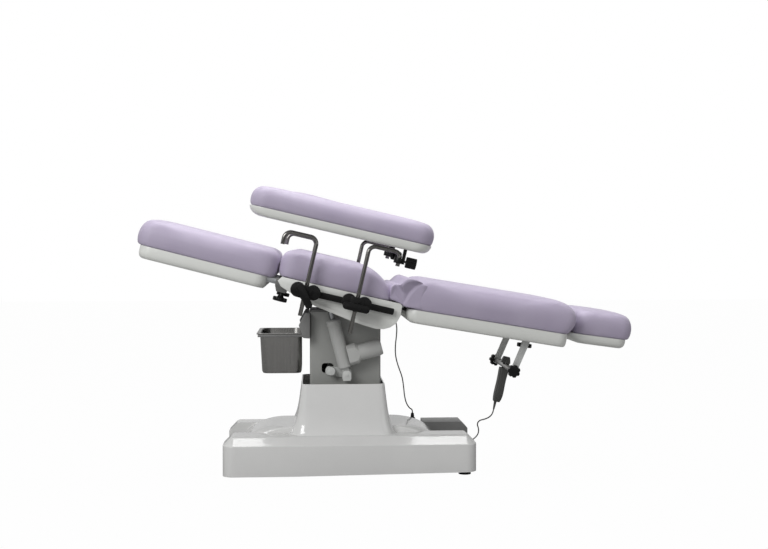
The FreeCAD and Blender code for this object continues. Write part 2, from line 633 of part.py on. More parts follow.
def seat_frame():
    """Tube frame with lugs for the shaft, the actuators, the hinge and the side rails."""
    low = "seat_tube_top - seat_tube_high"
    items = []
    for name, sign in SIDES:
        y = sign * size("seat_tube_half")
        items.append(prism("seat_tube_" + name,
                           (("seat_left", low), ("seat_right", low), ("seat_right", "seat_tube_top"),
                            ("seat_left", "seat_tube_top")), "seat_tube_wide", SEAT * placed(0, y, 0)))
        items.append(prism("pivot_lug_" + name,
                           (("-lug_radius", "-lug_radius"), ("lug_radius", "-lug_radius"),
                            ("lug_radius + 22", low + " + 2"), ("-lug_radius - 22", low + " + 2")),
                           "lug_thick", SEAT * placed(0, y, 0), rounding=(("20", (0, 1)),),
                           holes=(("0", "0", "shaft_radius + shaft_play"),)))
        items.append(prism("hinge_lug_" + name,
                           (("seat_right - 12", low), ("hinge_u + 2", "hinge_w - hinge_eye + 1"),
                            ("hinge_u + hinge_eye - 1", "hinge_w"), ("hinge_u + 2", "hinge_w + hinge_eye - 7"),
                            ("seat_right - 12", "seat_tube_top")), "10",
                           SEAT * placed(0, sign * size("seat_tube_half + 3"), 0), rounding=(("5", (1, 2, 3)),),
                           holes=(("hinge_u", "hinge_w", "hinge_radius"),)))
        for post in ("post_left", "post_right"):
            items.append(prism("rail_lug_%s_%s" % (post, name),
                               ((post + " - 14", "side_rail_mid - 12"), (post + " + 14", "side_rail_mid - 12"),
                                (post + " + 14", low + " + 1"), (post + " - 14", low + " + 1")),
                               "8", SEAT * placed(0, sign * size("seat_tube_half + seat_tube_wide / 2 - 4"), 0)))
    for index, (u, base) in enumerate((("seat_left", low), ("drive_eye_u - 12", low + " + 4"),
                                       ("seat_right - 30", low))):
        items.append(prism("seat_cross_%d" % index,
                           ((u, base), (u + " + 26", base), (u + " + 26", "seat_tube_top"), (u, "seat_tube_top")),
                           "2 * prong_half - prong_side - 10", SEAT))
    for index, y in enumerate((size("drive_y - eye_half - 6"), size("drive_y + eye_half + 6"))):
        items.append(prism("drive_lug_%d" % index,
                           (("drive_eye_u - 14", "-12"), ("drive_eye_u + 14", "-12"),
                            ("drive_eye_u + 14", low + " + 5"), ("drive_eye_u - 12", low + " + 5")), "6",
                           SEAT * placed(0, y, 0), rounding=(("10", (0, 1)),)))
    items.append(cylinder("drive_pin_solid", "drive_pin", "2 * eye_half + 26",
                          SEAT * placed(size("drive_eye_u"), size("drive_y + eye_half + 13"), 0, 90, (1, 0, 0))))
    items.append(prism("back_drive_lug",
                       (("back_drive_u - 12", "back_drive_w - 12"), ("back_drive_u + 12", "back_drive_w - 12"),
                        ("back_drive_u + 14", low + " + 5"), ("back_drive_u - 7", low + " + 5")), "8",
                       SEAT * placed(0, size("back_drive_y"), 0), rounding=(("9", (0, 1)),)))
    return keep(joined("seat_frame", items), "seat_frame")


SHELL_EDGE = ((-350, 20), (-338, 38), (118, 38), (127, 32), (130, -6), (120, -38), (101, -58), (78, -70),
              (50, -75), (2, -72), (-51, -66), (-113, -55), (-193, -42), (-297, -13), (-334, 2))
RECESS_EDGE = ((-215, -18), (96, -18), (108, -26), (101, -40), (88, -51), (70, -59), (48, -62), (2, -59),
               (-51, -53), (-113, -42), (-193, -29))


def flat_shape(points, near, far):
    """A slab between two Y planes from an outline of U and W points."""
    vectors = [FreeCAD.Vector(u, near, w) for u, w in points]
    face = Part.Face(Part.makePolygon(vectors + vectors[:1]))
    return face.extrude(FreeCAD.Vector(0, far - near, 0))


def seat_shell():
    """Moulded seat shell: deep side walls with scalloped recesses, end walls and a narrow deck."""
    half = size("table_half")
    wall = size("shell_wall")
    left = size("shell_left")
    right = size("shell_right")
    body = flat_shape(SHELL_EDGE, -half, half)
    start = size("seat_left") - 1
    well = Part.makeBox(right - wall - 2 - start, 2 * (half - wall), 400, FreeCAD.Vector(start, -half + wall, -200))
    body = body.cut(well)
    deck = Part.makeBox(17, 2 * half - 8, 4, FreeCAD.Vector(size("seat_right"), -half + 4, 34))
    body = body.fuse(deck)
    for sign in (-1, 1):
        outer = sign * half
        pocket = flat_shape(RECESS_EDGE, outer - sign * size("recess"), outer + sign * 5)
        body = body.cut(pocket)
        for post in ("post_left", "post_right"):
            centre = FreeCAD.Vector(size(post), sign * (half - 20), size("side_rail_mid"))
            body = body.cut(Part.makeCylinder(size("post_radius") + 0.3, 40, centre, FreeCAD.Vector(0, sign, 0)))
        notch = Part.makeBox(60, 38, 76, FreeCAD.Vector(left - 20, sign * size("prong_half") - 19, -45))
        body = body.cut(notch)
        lug = Part.makeBox(60, 52, 66, FreeCAD.Vector(right - 40, sign * 205 - 26, -26))
        body = body.cut(lug)
    slot = Part.makeBox(60, 50, 124, FreeCAD.Vector(right - 40, size("back_drive_y") - 30, -90))
    body = body.cut(slot)
    return keep(feature("seat_shell", body, SEAT), "seat_shell")


def seat_pad():
    """Seat cushion, chamfered towards the back section."""
    rings = ((-348, 94, 286, 286, 46, 38.3), (-356, 84, 290, 290, 50, 62), (-357, 60, 290, 290, 54, 95),
             (-350, 22, 286, 286, 56, 125), (-330, -12, 272, 272, 60, 142), (-300, -44, 250, 250, 60, 149))
    return keep(feature("seat_pad", lofted(rings), SEAT), "seat_pad")


def side_rails():
    """Two flat side rails on posts that pass through the shell to the seat frame."""
    items = []
    inner = "side_rail_inner"
    for name, sign in SIDES:
        y = sign * size("side_rail_inner + side_rail_thick / 2")
        bar = prism("side_rail_" + name,
                    (("side_rail_left", "side_rail_mid - side_rail_high / 2"),
                     ("side_rail_right", "side_rail_mid - side_rail_high / 2"),
                     ("side_rail_right", "side_rail_mid + side_rail_high / 2"),
                     ("side_rail_left", "side_rail_mid + side_rail_high / 2")),
                    "side_rail_thick", SEAT * placed(0, y, 0), rounding=(("5", (0, 1, 2, 3)),))
        posts = []
        for post in ("post_left", "post_right"):
            start = sign * size("seat_tube_half + seat_tube_wide / 2")
            posts.append(cylinder("%s_%s" % (post, name), "post_radius",
                                  inner + " - seat_tube_half - seat_tube_wide / 2 + 1",
                                  SEAT * placed(size(post), start, size("side_rail_mid"), -90 * sign, (1, 0, 0))))
        items.append(joined("rail_solid_" + name, [bar] + posts))
    group = document.addObject("Part::Compound", "rail_group")
    group.Links = items
    return keep(group, "side_rails")


def leg_sockets():
    """Two square sockets with threaded bosses that take the leg section's prongs."""
    items = []
    for name, sign in SIDES:
        place = LEG * placed(0, sign * size("prong_half"), 0)
        half = "prong_side / 2 + prong_play"
        outer = half + " + socket_wall"
        shell = prism("socket_outer_" + name,
                      (("socket_left", "-(%s)" % outer), ("socket_right", "-(%s)" % outer),
                       ("socket_right", outer), ("socket_left", outer)), "prong_side + 10", place)
        boss = prism("socket_boss_" + name,
                     (("socket_left", "-14"), ("26", "-14"), ("14", "-36"), ("socket_left + 10", "-36")),
                     "26", place)
        solid = joined("socket_solid_" + name, [shell, boss])
        bore = box("socket_bore_" + name, ("socket_left - 5", "-(%s)" % half, "-(%s)" % half),
                   ("socket_right - socket_left + 10", "2 * (%s)" % half, "2 * (%s)" % half), place)
        screw = cylinder("socket_screw_" + name, "star_stem + 0.1", "60", place * placed(0, 0, -60))
        items.append(without("socket_" + name, solid, joined("socket_tools_" + name, [bore, screw])))
    group = document.addObject("Part::Compound", "socket_group")
    group.Links = items
    return keep(group, "leg_sockets")


def leg_section():
    """Leg cushion, its moulded board, and the two prongs with their cross bars."""
    seam = size("leg_seam")
    pad = lofted(((-568, -42, 286, 286, 52, seam), (-574, -36, 290, 290, 56, seam + 22),
                  (-572, -36, 290, 290, 58, seam + 60), (-562, -40, 284, 284, 60, seam + 84),
                  (-535, -62, 262, 262, 62, seam + 102)))
    keep(feature("leg_pad", pad, LEG), "leg_pad")
    bottom = size("leg_board_bottom")
    left = size("leg_board_left")
    right = size("leg_board_right")
    board = lofted(((left + 14, right - 10, 268, 268, 40, bottom), (left + 3, right - 2, 280, 280, 46, bottom + 10),
                    (left, right, 284, 284, 48, bottom + 24), (left, right, 284, 284, 48, seam)))
    side = size("prong_side")
    for sign in (-1, 1):
        start = FreeCAD.Vector(size("prong_left"), sign * size("prong_half") - side / 2, -side / 2)
        board = board.cut(Part.makeBox(right - size("prong_left") + 40, side, side + 20, start))
    keep(feature("leg_board", board, LEG), "leg_board")
    prongs = []
    for name, sign in SIDES:
        y = "prong_half - prong_side / 2" if sign > 0 else "-prong_half - prong_side / 2"
        prongs.append(box("prong_" + name, ("prong_left", y, "-prong_side / 2"),
                          ("prong_right - prong_left", "prong_side", "prong_side"), LEG))
    group = document.addObject("Part::Compound", "prong_group")
    group.Links = prongs
    keep(group, "leg_prongs")


def lobed_knob(name, radius, height, lobes, place, stem_radius, stem_long):
    """A star knob with scalloped rim and a steel stem along the local vertical."""
    body = Part.makeCylinder(radius, height)
    body = body.makeFillet(min(3.5, height / 4), [edge for edge in body.Edges if edge.Length > radius])
    notch = radius * 0.32
    for index in range(lobes):
        angle = 2 * math.pi * index / lobes
        centre = FreeCAD.Vector(math.cos(angle), math.sin(angle), 0) * (radius * 1.16)
        body = body.cut(Part.makeCylinder(notch, height + 2, centre + FreeCAD.Vector(0, 0, -1)))
    neck = Part.makeCone(radius * 0.5, radius * 0.34, 9, FreeCAD.Vector(0, 0, height - 1))
    stem = Part.makeCylinder(stem_radius, stem_long, FreeCAD.Vector(0, 0, height - 1))
    return keep(feature(name, body.fuse([neck, stem]), place), name)


def back_frame():
    """Tube frame of the back section with hinge eyes, actuator lever and arms for the paper roll."""
    top = "back_seam"
    low = "back_seam - back_tube_high"
    items = []
    for name, sign in SIDES:
        y = sign * size("back_tube_half")
        items.append(prism("back_tube_" + name,
                           (("back_tube_left", low), ("back_tube_right", low), ("back_tube_right", top),
                            ("back_tube_left", top)), "back_tube_wide", BACK * placed(0, y, 0)))
        items.append(prism("back_eye_" + name,
                           (("-hinge_eye + 1", "-hinge_eye + 2"), ("back_tube_left + 30", low),
                            ("back_tube_left + 30", top), ("hinge_eye", "back_seam"), ("6", "hinge_eye - 6"),
                            ("-hinge_eye + 2", "hinge_eye - 8")), "10",
                           BACK * placed(0, sign * size("back_tube_half - 6"), 0), rounding=(("5", (0, 5)),),
                           holes=(("0", "0", "hinge_radius + shaft_play"),)))
        items.append(prism("roll_arm_" + name,
                           (("roll_x - 13", "roll_z - 13"), ("roll_x + 13", "roll_z - 13"),
                            ("roll_x + 55", low + " + 1"), ("roll_x + 27", low + " + 1")), "8",
                           BACK * placed(0, y, 0), rounding=(("12", (0, 1)),),
                           holes=(("roll_x", "roll_z", "roll_radius + shaft_play"),)))
    for index, x in enumerate(("back_tube_left", "back_tube_right - 130")):
        items.append(prism("back_cross_%d" % index,
                           ((x, low), (x + " + 26", low), (x + " + 26", top), (x, top)),
                           "2 * back_tube_half + 10", BACK))
    items.append(prism("back_lever",
                       (("lever_x - 9", "lever_z - 4"), ("lever_x + 2", "lever_z - 10"),
                        ("back_tube_left + 22", low + " + 1"), ("back_tube_left + 2", low + " + 1"),
                        ("lever_x - 4", "lever_z + 9")), "8",
                       BACK * placed(0, size("back_drive_y"), 0), rounding=(("4", (0, 1, 4)),)))
    items.append(cylinder("lever_pin", "drive_pin", "30",
                          BACK * placed(size("lever_x"), size("back_drive_y") + 15, size("lever_z"), 90, (1, 0, 0))))
    return keep(joined("back_frame", items), "back_frame")


def back_section():
    """Back cushion, its moulded board with slots for the frame, and the pleated gusset at the hinge."""
    seam = size("back_seam")
    pad = lofted(((24, 642, 286, 286, 40, seam), (16, 660, 290, 290, 42, seam + 26),
                  (22, 668, 290, 290, 44, seam + 64), (32, 652, 284, 284, 48, seam + 96),
                  (56, 604, 262, 262, 54, seam + 118)))
    keep(feature("back_pad", pad, BACK), "back_pad")
    bottom = size("back_board_bottom")
    left = size("back_board_left")
    right = size("back_board_right")
    board = lofted(((left + 26, right - 8, 268, 268, 36, bottom), (left + 8, right - 2, 280, 280, 38, bottom + 6),
                    (left, right, 284, 284, 40, bottom + 16), (left, right, 284, 284, 40, seam)))
    tube_low = seam - size("back_tube_high")
    wide = size("back_tube_wide")
    for sign in (-1, 1):
        y = sign * size("back_tube_half")
        board = board.cut(Part.makeBox(size("back_tube_right") + 60, wide, 100, FreeCAD.Vector(-60, y - wide / 2, tube_low)))
        eye = Part.makeBox(100, 10, 100, FreeCAD.Vector(-30, sign * size("back_tube_half - 6") - 5, tube_low - 2))
        board = board.cut(eye)
        board = board.cut(Part.makeBox(70, 8.4, 60, FreeCAD.Vector(size("roll_x") + 2, y - 4.2, bottom - 10)))
        prong = size("head_prong_side")
        slot = Part.makeBox(420, prong + 0.6, prong + 0.6)
        slot.Placement = BACK.inverse() * HEAD * placed(
            size("head_prong_left") - 6, sign * size("head_prong_half") - prong / 2 - 0.3,
            size("head_prong_z") - prong / 2 - 0.3)
        board = board.cut(slot)
    for x in (size("back_tube_left"), size("back_tube_right") - 130):
        board = board.cut(Part.makeBox(26, 2 * size("back_tube_half"), 100,
                                       FreeCAD.Vector(x, -size("back_tube_half"), tube_low)))
    lever = Part.makeBox(120, 12, 80, FreeCAD.Vector(-60, size("back_drive_y") - 6, bottom - 30))
    board = board.cut(lever)
    plate = Part.makeBox(size("head_plate_long + head_travel") + 8, 2 * size("head_prong_half"), prong + 0.6)
    plate.Placement = BACK.inverse() * HEAD * placed(
        size("head_prong_left") - 6, -size("head_prong_half"), size("head_prong_z") - prong / 2 - 0.3)
    board = board.cut(plate)
    knob = Part.makeCylinder(5.2, 75)
    knob.Placement = BACK.inverse() * HEAD * placed(size("head_knob_x"), 0, -70)
    board = board.cut(knob)
    keep(feature("back_board", board, BACK), "back_board")
    edge = ((99, 40), (142, 40), (142, 90), (148, 116), (118, 134), (84, 124), (72, 104), (90, 66))
    keep(feature("back_gusset", flat_shape(edge, -272, 272), SEAT), "back_gusset")


def hinge_pins():
    """The two pins of the back hinge."""
    items = []
    for name, sign in SIDES:
        start = size("back_tube_half") - 12
        place = SEAT * placed(size("hinge_u"), sign * start, size("hinge_w"), -90 * sign, (1, 0, 0))
        items.append(cylinder("hinge_pin_" + name, "hinge_radius", "26", place))
    group = document.addObject("Part::Compound", "pin_group")
    group.Links = items
    return keep(group, "back_hinge_pins")


def back_actuator():
    """Tube and rod of the actuator that raises the back section."""
    pin = BACK.multVec(FreeCAD.Vector(size("lever_x"), 0, size("lever_z")))
    start = SEAT.multVec(FreeCAD.Vector(size("back_drive_u"), 0, size("back_drive_w")))
    aim = SEAT.multVec(FreeCAD.Vector(size("hinge_u"), 0, size("back_drive_aim"))) - start
    reach = (pin - start).dot(aim) / aim.Length
    lean = math.degrees(math.atan2(aim.x, aim.z))
    place = placed(start.x, size("back_drive_y"), start.z, lean)
    tube = turned("back_barrel",
                  (("drive_rod + 0.4", "30"), ("0", "30"), ("0", "14"), ("drive_tube - 2", "14"),
                   ("drive_tube", "17"), ("drive_tube", "drive_tube_long - 3"),
                   ("drive_tube - 3", "drive_tube_long"), ("drive_rod + 0.4", "drive_tube_long")), place)
    ears = []
    for index, y in enumerate((-8, 8)):
        ears.append(prism("back_fork_%d" % index, (("-10", "-10"), ("10", "-10"), ("10", "15"), ("-10", "15")),
                          "6", place * placed(0, y, 0), rounding=(("9", (0, 1)),)))
    keep(joined("back_actuator_tube", [tube] + ears), "back_actuator_tube")
    rod = Part.makeCylinder(size("drive_rod"), reach - 93, FreeCAD.Vector(0, 0, 76))
    across = FreeCAD.Vector(0, 1, 0)
    eye = Part.makeCylinder(size("drive_pin") + 10, 8, FreeCAD.Vector(0, 6, reach), across)
    neck = Part.makeCylinder(size("drive_rod") - 1.5, 19, FreeCAD.Vector(0, -6, reach - 20), across)
    hole = Part.makeCylinder(size("drive_pin") + 4.5, 60, FreeCAD.Vector(0, -30, reach), across)
    shape = rod.fuse([neck, eye]).cut(hole)
    keep(feature("back_actuator_rod", shape, place), "back_actuator_rod")


def headrest():
    """Headrest cushion, board, prongs and the knob that locks them."""
    seam = size("head_seam")
    left = size("head_left")
    right = size("head_right")
    half = size("head_half")
    pad = lofted(((left + 3, right - 8, half - 4, half - 4, 44, seam), (left, right, half, half, 48, seam + 24),
                  (left + 2, right - 1, half, half, 50, seam + 56), (left + 8, right - 10, half - 8, half - 8, 52, seam + 80),
                  (left + 30, right - 40, half - 30, half - 30, 54, seam + 95)))
    keep(feature("headrest_pad", pad, HEAD), "headrest_pad")
    bottom = size("head_board_bottom")
    b_left = size("head_board_left")
    b_right = size("head_board_right")
    board = lofted(((b_left + 46, b_right - 14, half - 24, half - 24, 34, bottom),
                    (b_left + 22, b_right - 4, half - 12, half - 12, 38, bottom + 9),
                    (b_left, b_right, half - 6, half - 6, 42, bottom + 22), (b_left, b_right, half - 6, half - 6, 42, seam)))
    side = size("head_prong_side")
    prongs = []
    for name, sign in SIDES:
        y = sign * size("head_prong_half") - side / 2
        z = size("head_prong_z") - side / 2
        long = size("head_prong_right - head_prong_left")
        board = board.cut(Part.makeBox(long, side, side, FreeCAD.Vector(size("head_prong_left"), y, z)))
        item = box("head_prong_" + name, ("0", "0", "0"),
                   ("head_prong_right - head_prong_left", "head_prong_side", "head_prong_side"),
                   HEAD * placed(size("head_prong_left"), y, z))
        prongs.append(item)
    prongs.append(box("head_prong_cross", ("head_prong_left", "-head_prong_half + head_prong_side / 2",
                                           "head_prong_z - head_prong_side / 2"),
                      ("head_plate_long", "2 * head_prong_half - head_prong_side", "head_prong_side"), HEAD))
    keep(feature("headrest_board", board, HEAD), "headrest_board")
    keep(joined("headrest_prongs", prongs), "headrest_prongs")


def roll_bar():
    """Bar for the paper roll with a lobed knob at each end."""
    place = BACK * placed(size("roll_x"), 0, size("roll_z"))
    half = size("back_tube_half + roll_over")
    bar = Part.makeCylinder(size("roll_radius"), 2 * half, FreeCAD.Vector(0, -half, 0), FreeCAD.Vector(0, 1, 0))
    keep(feature("paper_roll_bar", bar, place), "paper_roll_bar")
    pieces = []
    for sign in (-1, 1):
        knob = Part.makeCylinder(size("roll_knob_radius"), size("roll_knob_wide"))
        knob = knob.makeFillet(3, [edge for edge in knob.Edges if edge.Length > 60])
        for index in range(7):
            angle = 2 * math.pi * index / 7
            centre = FreeCAD.Vector(math.cos(angle), math.sin(angle), 0) * size("roll_knob_radius") * 1.12
            knob = knob.cut(Part.makeCylinder(7, 40, centre + FreeCAD.Vector(0, 0, -2)))
        knob.Placement = placed(0, sign * half, 0, -90 * sign, (1, 0, 0))
        pieces.append(knob)
    return keep(feature("paper_roll_knobs", Part.Compound(pieces), place), "paper_roll_knobs")


def handset():
    """Handset that hangs on the paper bar: housing, bridge and cap meet round the slot for the bar."""
    axis = BACK.multVec(FreeCAD.Vector(size("roll_x"), 0, size("roll_z")))
    place = placed(axis.x, 0, axis.z, size("handset_lean"))
    deep = size("handset_deep") / 2
    wide = size("handset_wide") / 2
    bottom = -size("handset_long") + size("handset_top")
    body = lofted(((4 - deep, deep - 6, wide - 7, wide - 7, 8, bottom),
                   (2 - deep, deep - 1, wide - 2, wide - 2, 9, bottom + 16),
                   (2 - deep, deep + 2, wide, wide, 10, -34),
                   (4 - deep, deep + 3, wide - 8, wide - 8, 9, size("handset_top") - 12),
                   (8 - deep, deep - 1, wide - 13, wide - 13, 7, size("handset_top"))))
    relief = Part.makeCone(6, 3.4, 34, FreeCAD.Vector(-4, 0, bottom + 1), FreeCAD.Vector(0, 0, -1))
    gap = size("roll_radius") + size("hook_play")
    parting = size("hook_parting")
    rounded = Part.makeCylinder(deep + 2.5, 80, FreeCAD.Vector(0, -40, 0), FreeCAD.Vector(0, 1, 0))
    lower = body.fuse(relief).common(Part.makeBox(80, 80, 200, FreeCAD.Vector(-40, -40, -200 - gap)))
    bridge = body.common(rounded).common(Part.makeBox(40, 80, 2 * gap - parting,
                                                      FreeCAD.Vector(gap, -40, parting - gap)))
    cap = body.common(Part.makeBox(80, 80, 60, FreeCAD.Vector(-40, -40, gap + parting)))
    return keep(feature("handset", Part.makeCompound([lower, bridge, cap]), place), "handset")


def clamp(name, u, sign):
    """Rail clamp: hook round the rail, two round lobes and the upright bore for the rod."""
    back = size("side_rail_inner") - 6
    out = size("clamp_out")
    half = size("clamp_half")
    mid = size("side_rail_mid")
    high = size("side_rail_high") / 2
    play = size("rail_play")
    thick = size("side_rail_thick")
    inner = size("side_rail_inner")
    low = mid - high - 12
    block = Part.makeBox(2 * half, out - back, 2 * high + 24, FreeCAD.Vector(-half, back, low))
    for reach in (-1, 1):
        centre = FreeCAD.Vector(reach * size("lobe_reach"), inner + thick + 6, mid + 4)
        block = block.fuse(Part.makeCylinder(size("lobe_radius"), out - inner - thick - 8, centre, FreeCAD.Vector(0, 1, 0)))
    slot = Part.makeBox(200, thick + 2 * play, 2 * (high + play), FreeCAD.Vector(-100, inner - play, mid - high - play))
    mouth = Part.makeBox(200, 20, 2 * high - 8, FreeCAD.Vector(-100, inner - 19, mid - high + 4))
    bore = Part.makeCylinder(size("rod_radius + rod_play"), 120, FreeCAD.Vector(0, size("rod_half"), mid - 60))
    screw = Part.makeCylinder(size("tee_stem") + 0.1, 8, FreeCAD.Vector(0, out - 7, size("tee_drop")), FreeCAD.Vector(0, 1, 0))
    shape = block.cut(slot).cut(mouth).cut(bore).cut(screw)
    if sign < 0:
        shape = shape.mirror(FreeCAD.Vector(0, 0, 0), FreeCAD.Vector(0, 1, 0))
    return keep(feature(name, shape, SEAT * placed(size(u))), name)


def tee_handle(name, u, sign, turn):
    """Tee handle on a short stem that closes a clamp."""
    half = size("tee_half")
    high = size("tee_high")
    out = size("clamp_out")
    bar = Part.makeBox(2 * half, size("tee_thick"), high, FreeCAD.Vector(-half, out + 9, -high / 2))
    ends = [edge for edge in bar.Edges if abs(edge.tangentAt(edge.FirstParameter).y) > 0.99]
    bar = bar.makeFillet(high * 0.45, ends)
    hub = Part.makeCone(18, 14, 10, FreeCAD.Vector(0, out + 0.5, 0), FreeCAD.Vector(0, 1, 0))
    stem = Part.makeCylinder(size("tee_stem"), 12, FreeCAD.Vector(0, out - 6.5, 0), FreeCAD.Vector(0, 1, 0))
    shape = bar.fuse([hub, stem])
    if sign < 0:
        shape = shape.mirror(FreeCAD.Vector(0, 0, 0), FreeCAD.Vector(0, 1, 0))
    place = SEAT * placed(size(u), 0, size("tee_drop"), turn)
    return keep(feature(name, shape, place), name)


def rod(name, u, sign, points, bends, raise_by=0.0):
    """Bent stainless rod held by a clamp."""
    y = sign * size("rod_half")
    vectors = [FreeCAD.Vector(along, y, height) for along, height in points]
    shape = swept_tube(vectors, size("rod_radius"), bends)[0]
    return keep(feature(name, shape, SEAT * placed(size(u), 0, raise_by)), name)


def padded_rest(name, sign, raise_by, swing):
    """Long padded rest: moulded shell with its socket, cushion and lock knob, swung about the rod's tip."""
    place = SEAT * placed(size("right_clamp + arm_run"), sign * size("rod_half"), raise_by)
    place = place * placed(0, 0, 0, swing * sign, (0, 0, 1))
    out = size("rest_out")
    half = size("rest_half")
    near = half - out * sign
    far = half + out * sign
    left = size("rest_left")
    right = size("rest_right")
    bottom = size("rest_bottom")
    seam = size("rest_seam")
    shell = lofted(((left + 44, right - 30, near - 18, far - 18, 48, bottom),
                    (left + 14, right - 10, near - 6, far - 6, 56, bottom + 12),
                    (left + 2, right - 2, near - 2, far - 2, 60, seam)))
    hub = Part.makeCylinder(size("socket_radius"), size("socket_top - socket_bottom"),
                            FreeCAD.Vector(0, 0, size("socket_bottom")))
    web = Part.makeBox(12, 24, bottom - size("socket_bottom") + 2, FreeCAD.Vector(10, -12, size("socket_bottom")))
    shell = shell.fuse([hub, web])
    bore = Part.makeCylinder(size("rod_radius + rod_play"), 90, FreeCAD.Vector(0, 0, size("socket_bottom") - 60))
    shell = shell.cut(bore)
    screw = Part.makeCylinder(4.1, 60, FreeCAD.Vector(size("rod_radius") - 2, 0, 195), FreeCAD.Vector(1, 0, 0))
    shell = shell.cut(screw)
    keep(feature("rest_shell_" + name, shell, place), "rest_shell_" + name)
    top = size("rest_top")
    pad = lofted(((left + 4, right - 4, near - 3, far - 3, 58, seam + 0.3), (left, right, near, far, 62, seam + 20),
                  (left + 2, right - 2, near, far, 62, seam + 46), (left + 12, right - 12, near - 9, far - 9, 56, top - 14),
                  (left + 34, right - 34, near - 26, far - 26, 42, top)))
    keep(feature("rest_pad_" + name, pad, place), "rest_pad_" + name)
    knob = place * placed(22 + 5 + size("rest_knob_long"), 0, 195, -90)
    body = Part.makeCylinder(size("rest_knob_radius"), size("rest_knob_long"))
    body = body.makeFillet(3, [edge for edge in body.Edges if edge.Length > 60])
    for index in range(5):
        angle = 2 * math.pi * index / 5
        centre = FreeCAD.Vector(math.cos(angle), math.sin(angle), 0) * size("rest_knob_radius") * 1.15
        body = body.cut(Part.makeCylinder(7, 60, centre + FreeCAD.Vector(0, 0, -5)))
    stem = Part.makeCylinder(4, 19.7, FreeCAD.Vector(0, 0, size("rest_knob_long") - 1))
    keep(feature("rest_knob_" + name, body.fuse(stem), knob), "rest_knob_" + name)


# Routes of the cords, chosen point by point
SEAT_CORD = ((31, 128, 647.6), (31, 128, 633), (42, 128, 616), (60, 128, 600), (76, 130, 577),
             (83, 136, 545), (81, 144, 508), (77, 150, 470), (77, 151, 434), (83, 150, 402),
             (94, 150, 370), (106, 152, 338), (112, 156, 298), (116, 161, 258), (124, 168, 226),
             (140, 180, 202), (152, 192, 197), (152, 192, 182.3))
HANDSET_CORD = ((465.6, 0, 221.8), (461.9, 0, 204.2), (450, 9, 188), (432, 26, 177), (414, 46, 170),
                (407, 66, 152), (417, 76, 128), (413, 80, 104), (394, 83, 86),
                (376, 86, 76), (369, 96, 73), (369, 106.7, 73))


base_cover()
base_frame()
levelling_feet()
control_box()
cable_glands()
square_tube("mast_guide", "mast_side + 2 * guide_play + 2 * guide_wall", "guide_wall", "frame_bottom + 10",
            "guide_top", "mast_x")
square_tube("mast", "mast_side", "mast_wall", "mast_bottom", "sleeve_top", "mast_x")
column_cover()
tilt_head()
tilt_shaft()
actuator_bracket()
basin_bracket()
basin()
tilt_actuator()
seat_frame()
seat_shell()
seat_pad()
side_rails()
leg_sockets()
leg_section()
for side_name, side_sign in SIDES:
    knob_place = LEG * placed(0, side_sign * size("prong_half"), -size("star_drop"))
    lobed_knob("leg_knob_" + side_name, size("star_radius"), size("star_high"), 6, knob_place,
               size("star_stem"), size("star_drop - prong_side / 2 - star_high") + 0.7)
back_frame()
back_section()
hinge_pins()
back_actuator()
headrest()
lobed_knob("headrest_knob", size("head_knob_radius"), 16, 6,
           HEAD * placed(size("head_knob_x"), 0, -62), 5, 46.7)
roll_bar()
handset()
for side_name, side_sign in SIDES:
    clamp("leg_end_clamp_" + side_name, "left_clamp", side_sign)
    clamp("head_end_clamp_" + side_name, "right_clamp", side_sign)
    tee_handle("leg_end_handle_" + side_name, "left_clamp", side_sign, 53 if side_sign < 0 else 20)
    tee_handle("head_end_handle_" + side_name, "right_clamp", side_sign, 0)
    rod("hook_rod_" + side_name, "left_clamp", side_sign,
        ((0, size("hook_low")), (0, size("hook_high")), (-size("hook_run"), size("hook_high")),
         (-size("hook_run"), size("hook_tip"))), (size("rod_bend"), size("rod_bend")))
    rest_raise = size("far_arm_raise") if side_sign > 0 else 0.0
    rest_swing = size("far_swing") if side_sign > 0 else 0.0
    rod("rest_rod_" + side_name, "right_clamp", side_sign,
        ((0, size("arm_low")), (0, size("arm_high")), (size("arm_run"), size("arm_high")),
         (size("arm_run"), size("arm_tip"))), (size("rod_bend"), size("rod_bend") - 6), rest_raise)
    padded_rest(side_name, side_sign, rest_raise, rest_swing)
keep(feature("seat_cord", cord_tube(SEAT_CORD, 2.5)), "seat_cord")
keep(feature("handset_cord", cord_tube(HANDSET_CORD, 2.5)), "handset_cord")


def write_parts():
    """Checks every object and writes one file for each sub-part."""
    document.recompute()
    for item in document.Objects:
        if "Invalid" in item.State or "Error" in item.State:
            raise ValueError("%s did not build: %s" % (item.Name, item.State))
    for item in NODES:
        if item.Shape.isNull() or not item.Shape.isValid() or item.Shape.Volume <= 0:
            raise ValueError("%s has no valid shape" % item.Label)
    origin = placed(-size("middle_x"), -size("middle_y"), 0)
    for item in NODES:
        shape = item.Shape.copy()
        shape.Placement = origin * shape.Placement
        shape.exportStep("parts/%s.step" % item.Label)
    print(len(NODES), "sub-parts")


write_parts()
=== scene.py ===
"""Looks of the examination table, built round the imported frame.

Each sub-assembly is a class: its sizes are fields, and its methods build meshes and dress them.
Sizes are in millimetres unless their own line says metres.
"""
from __future__ import annotations

import json
import logging
import math
from dataclasses import dataclass, field
from enum import Enum
from typing import Callable, Sequence

import bmesh
import bpy
from mathutils import Matrix, Vector


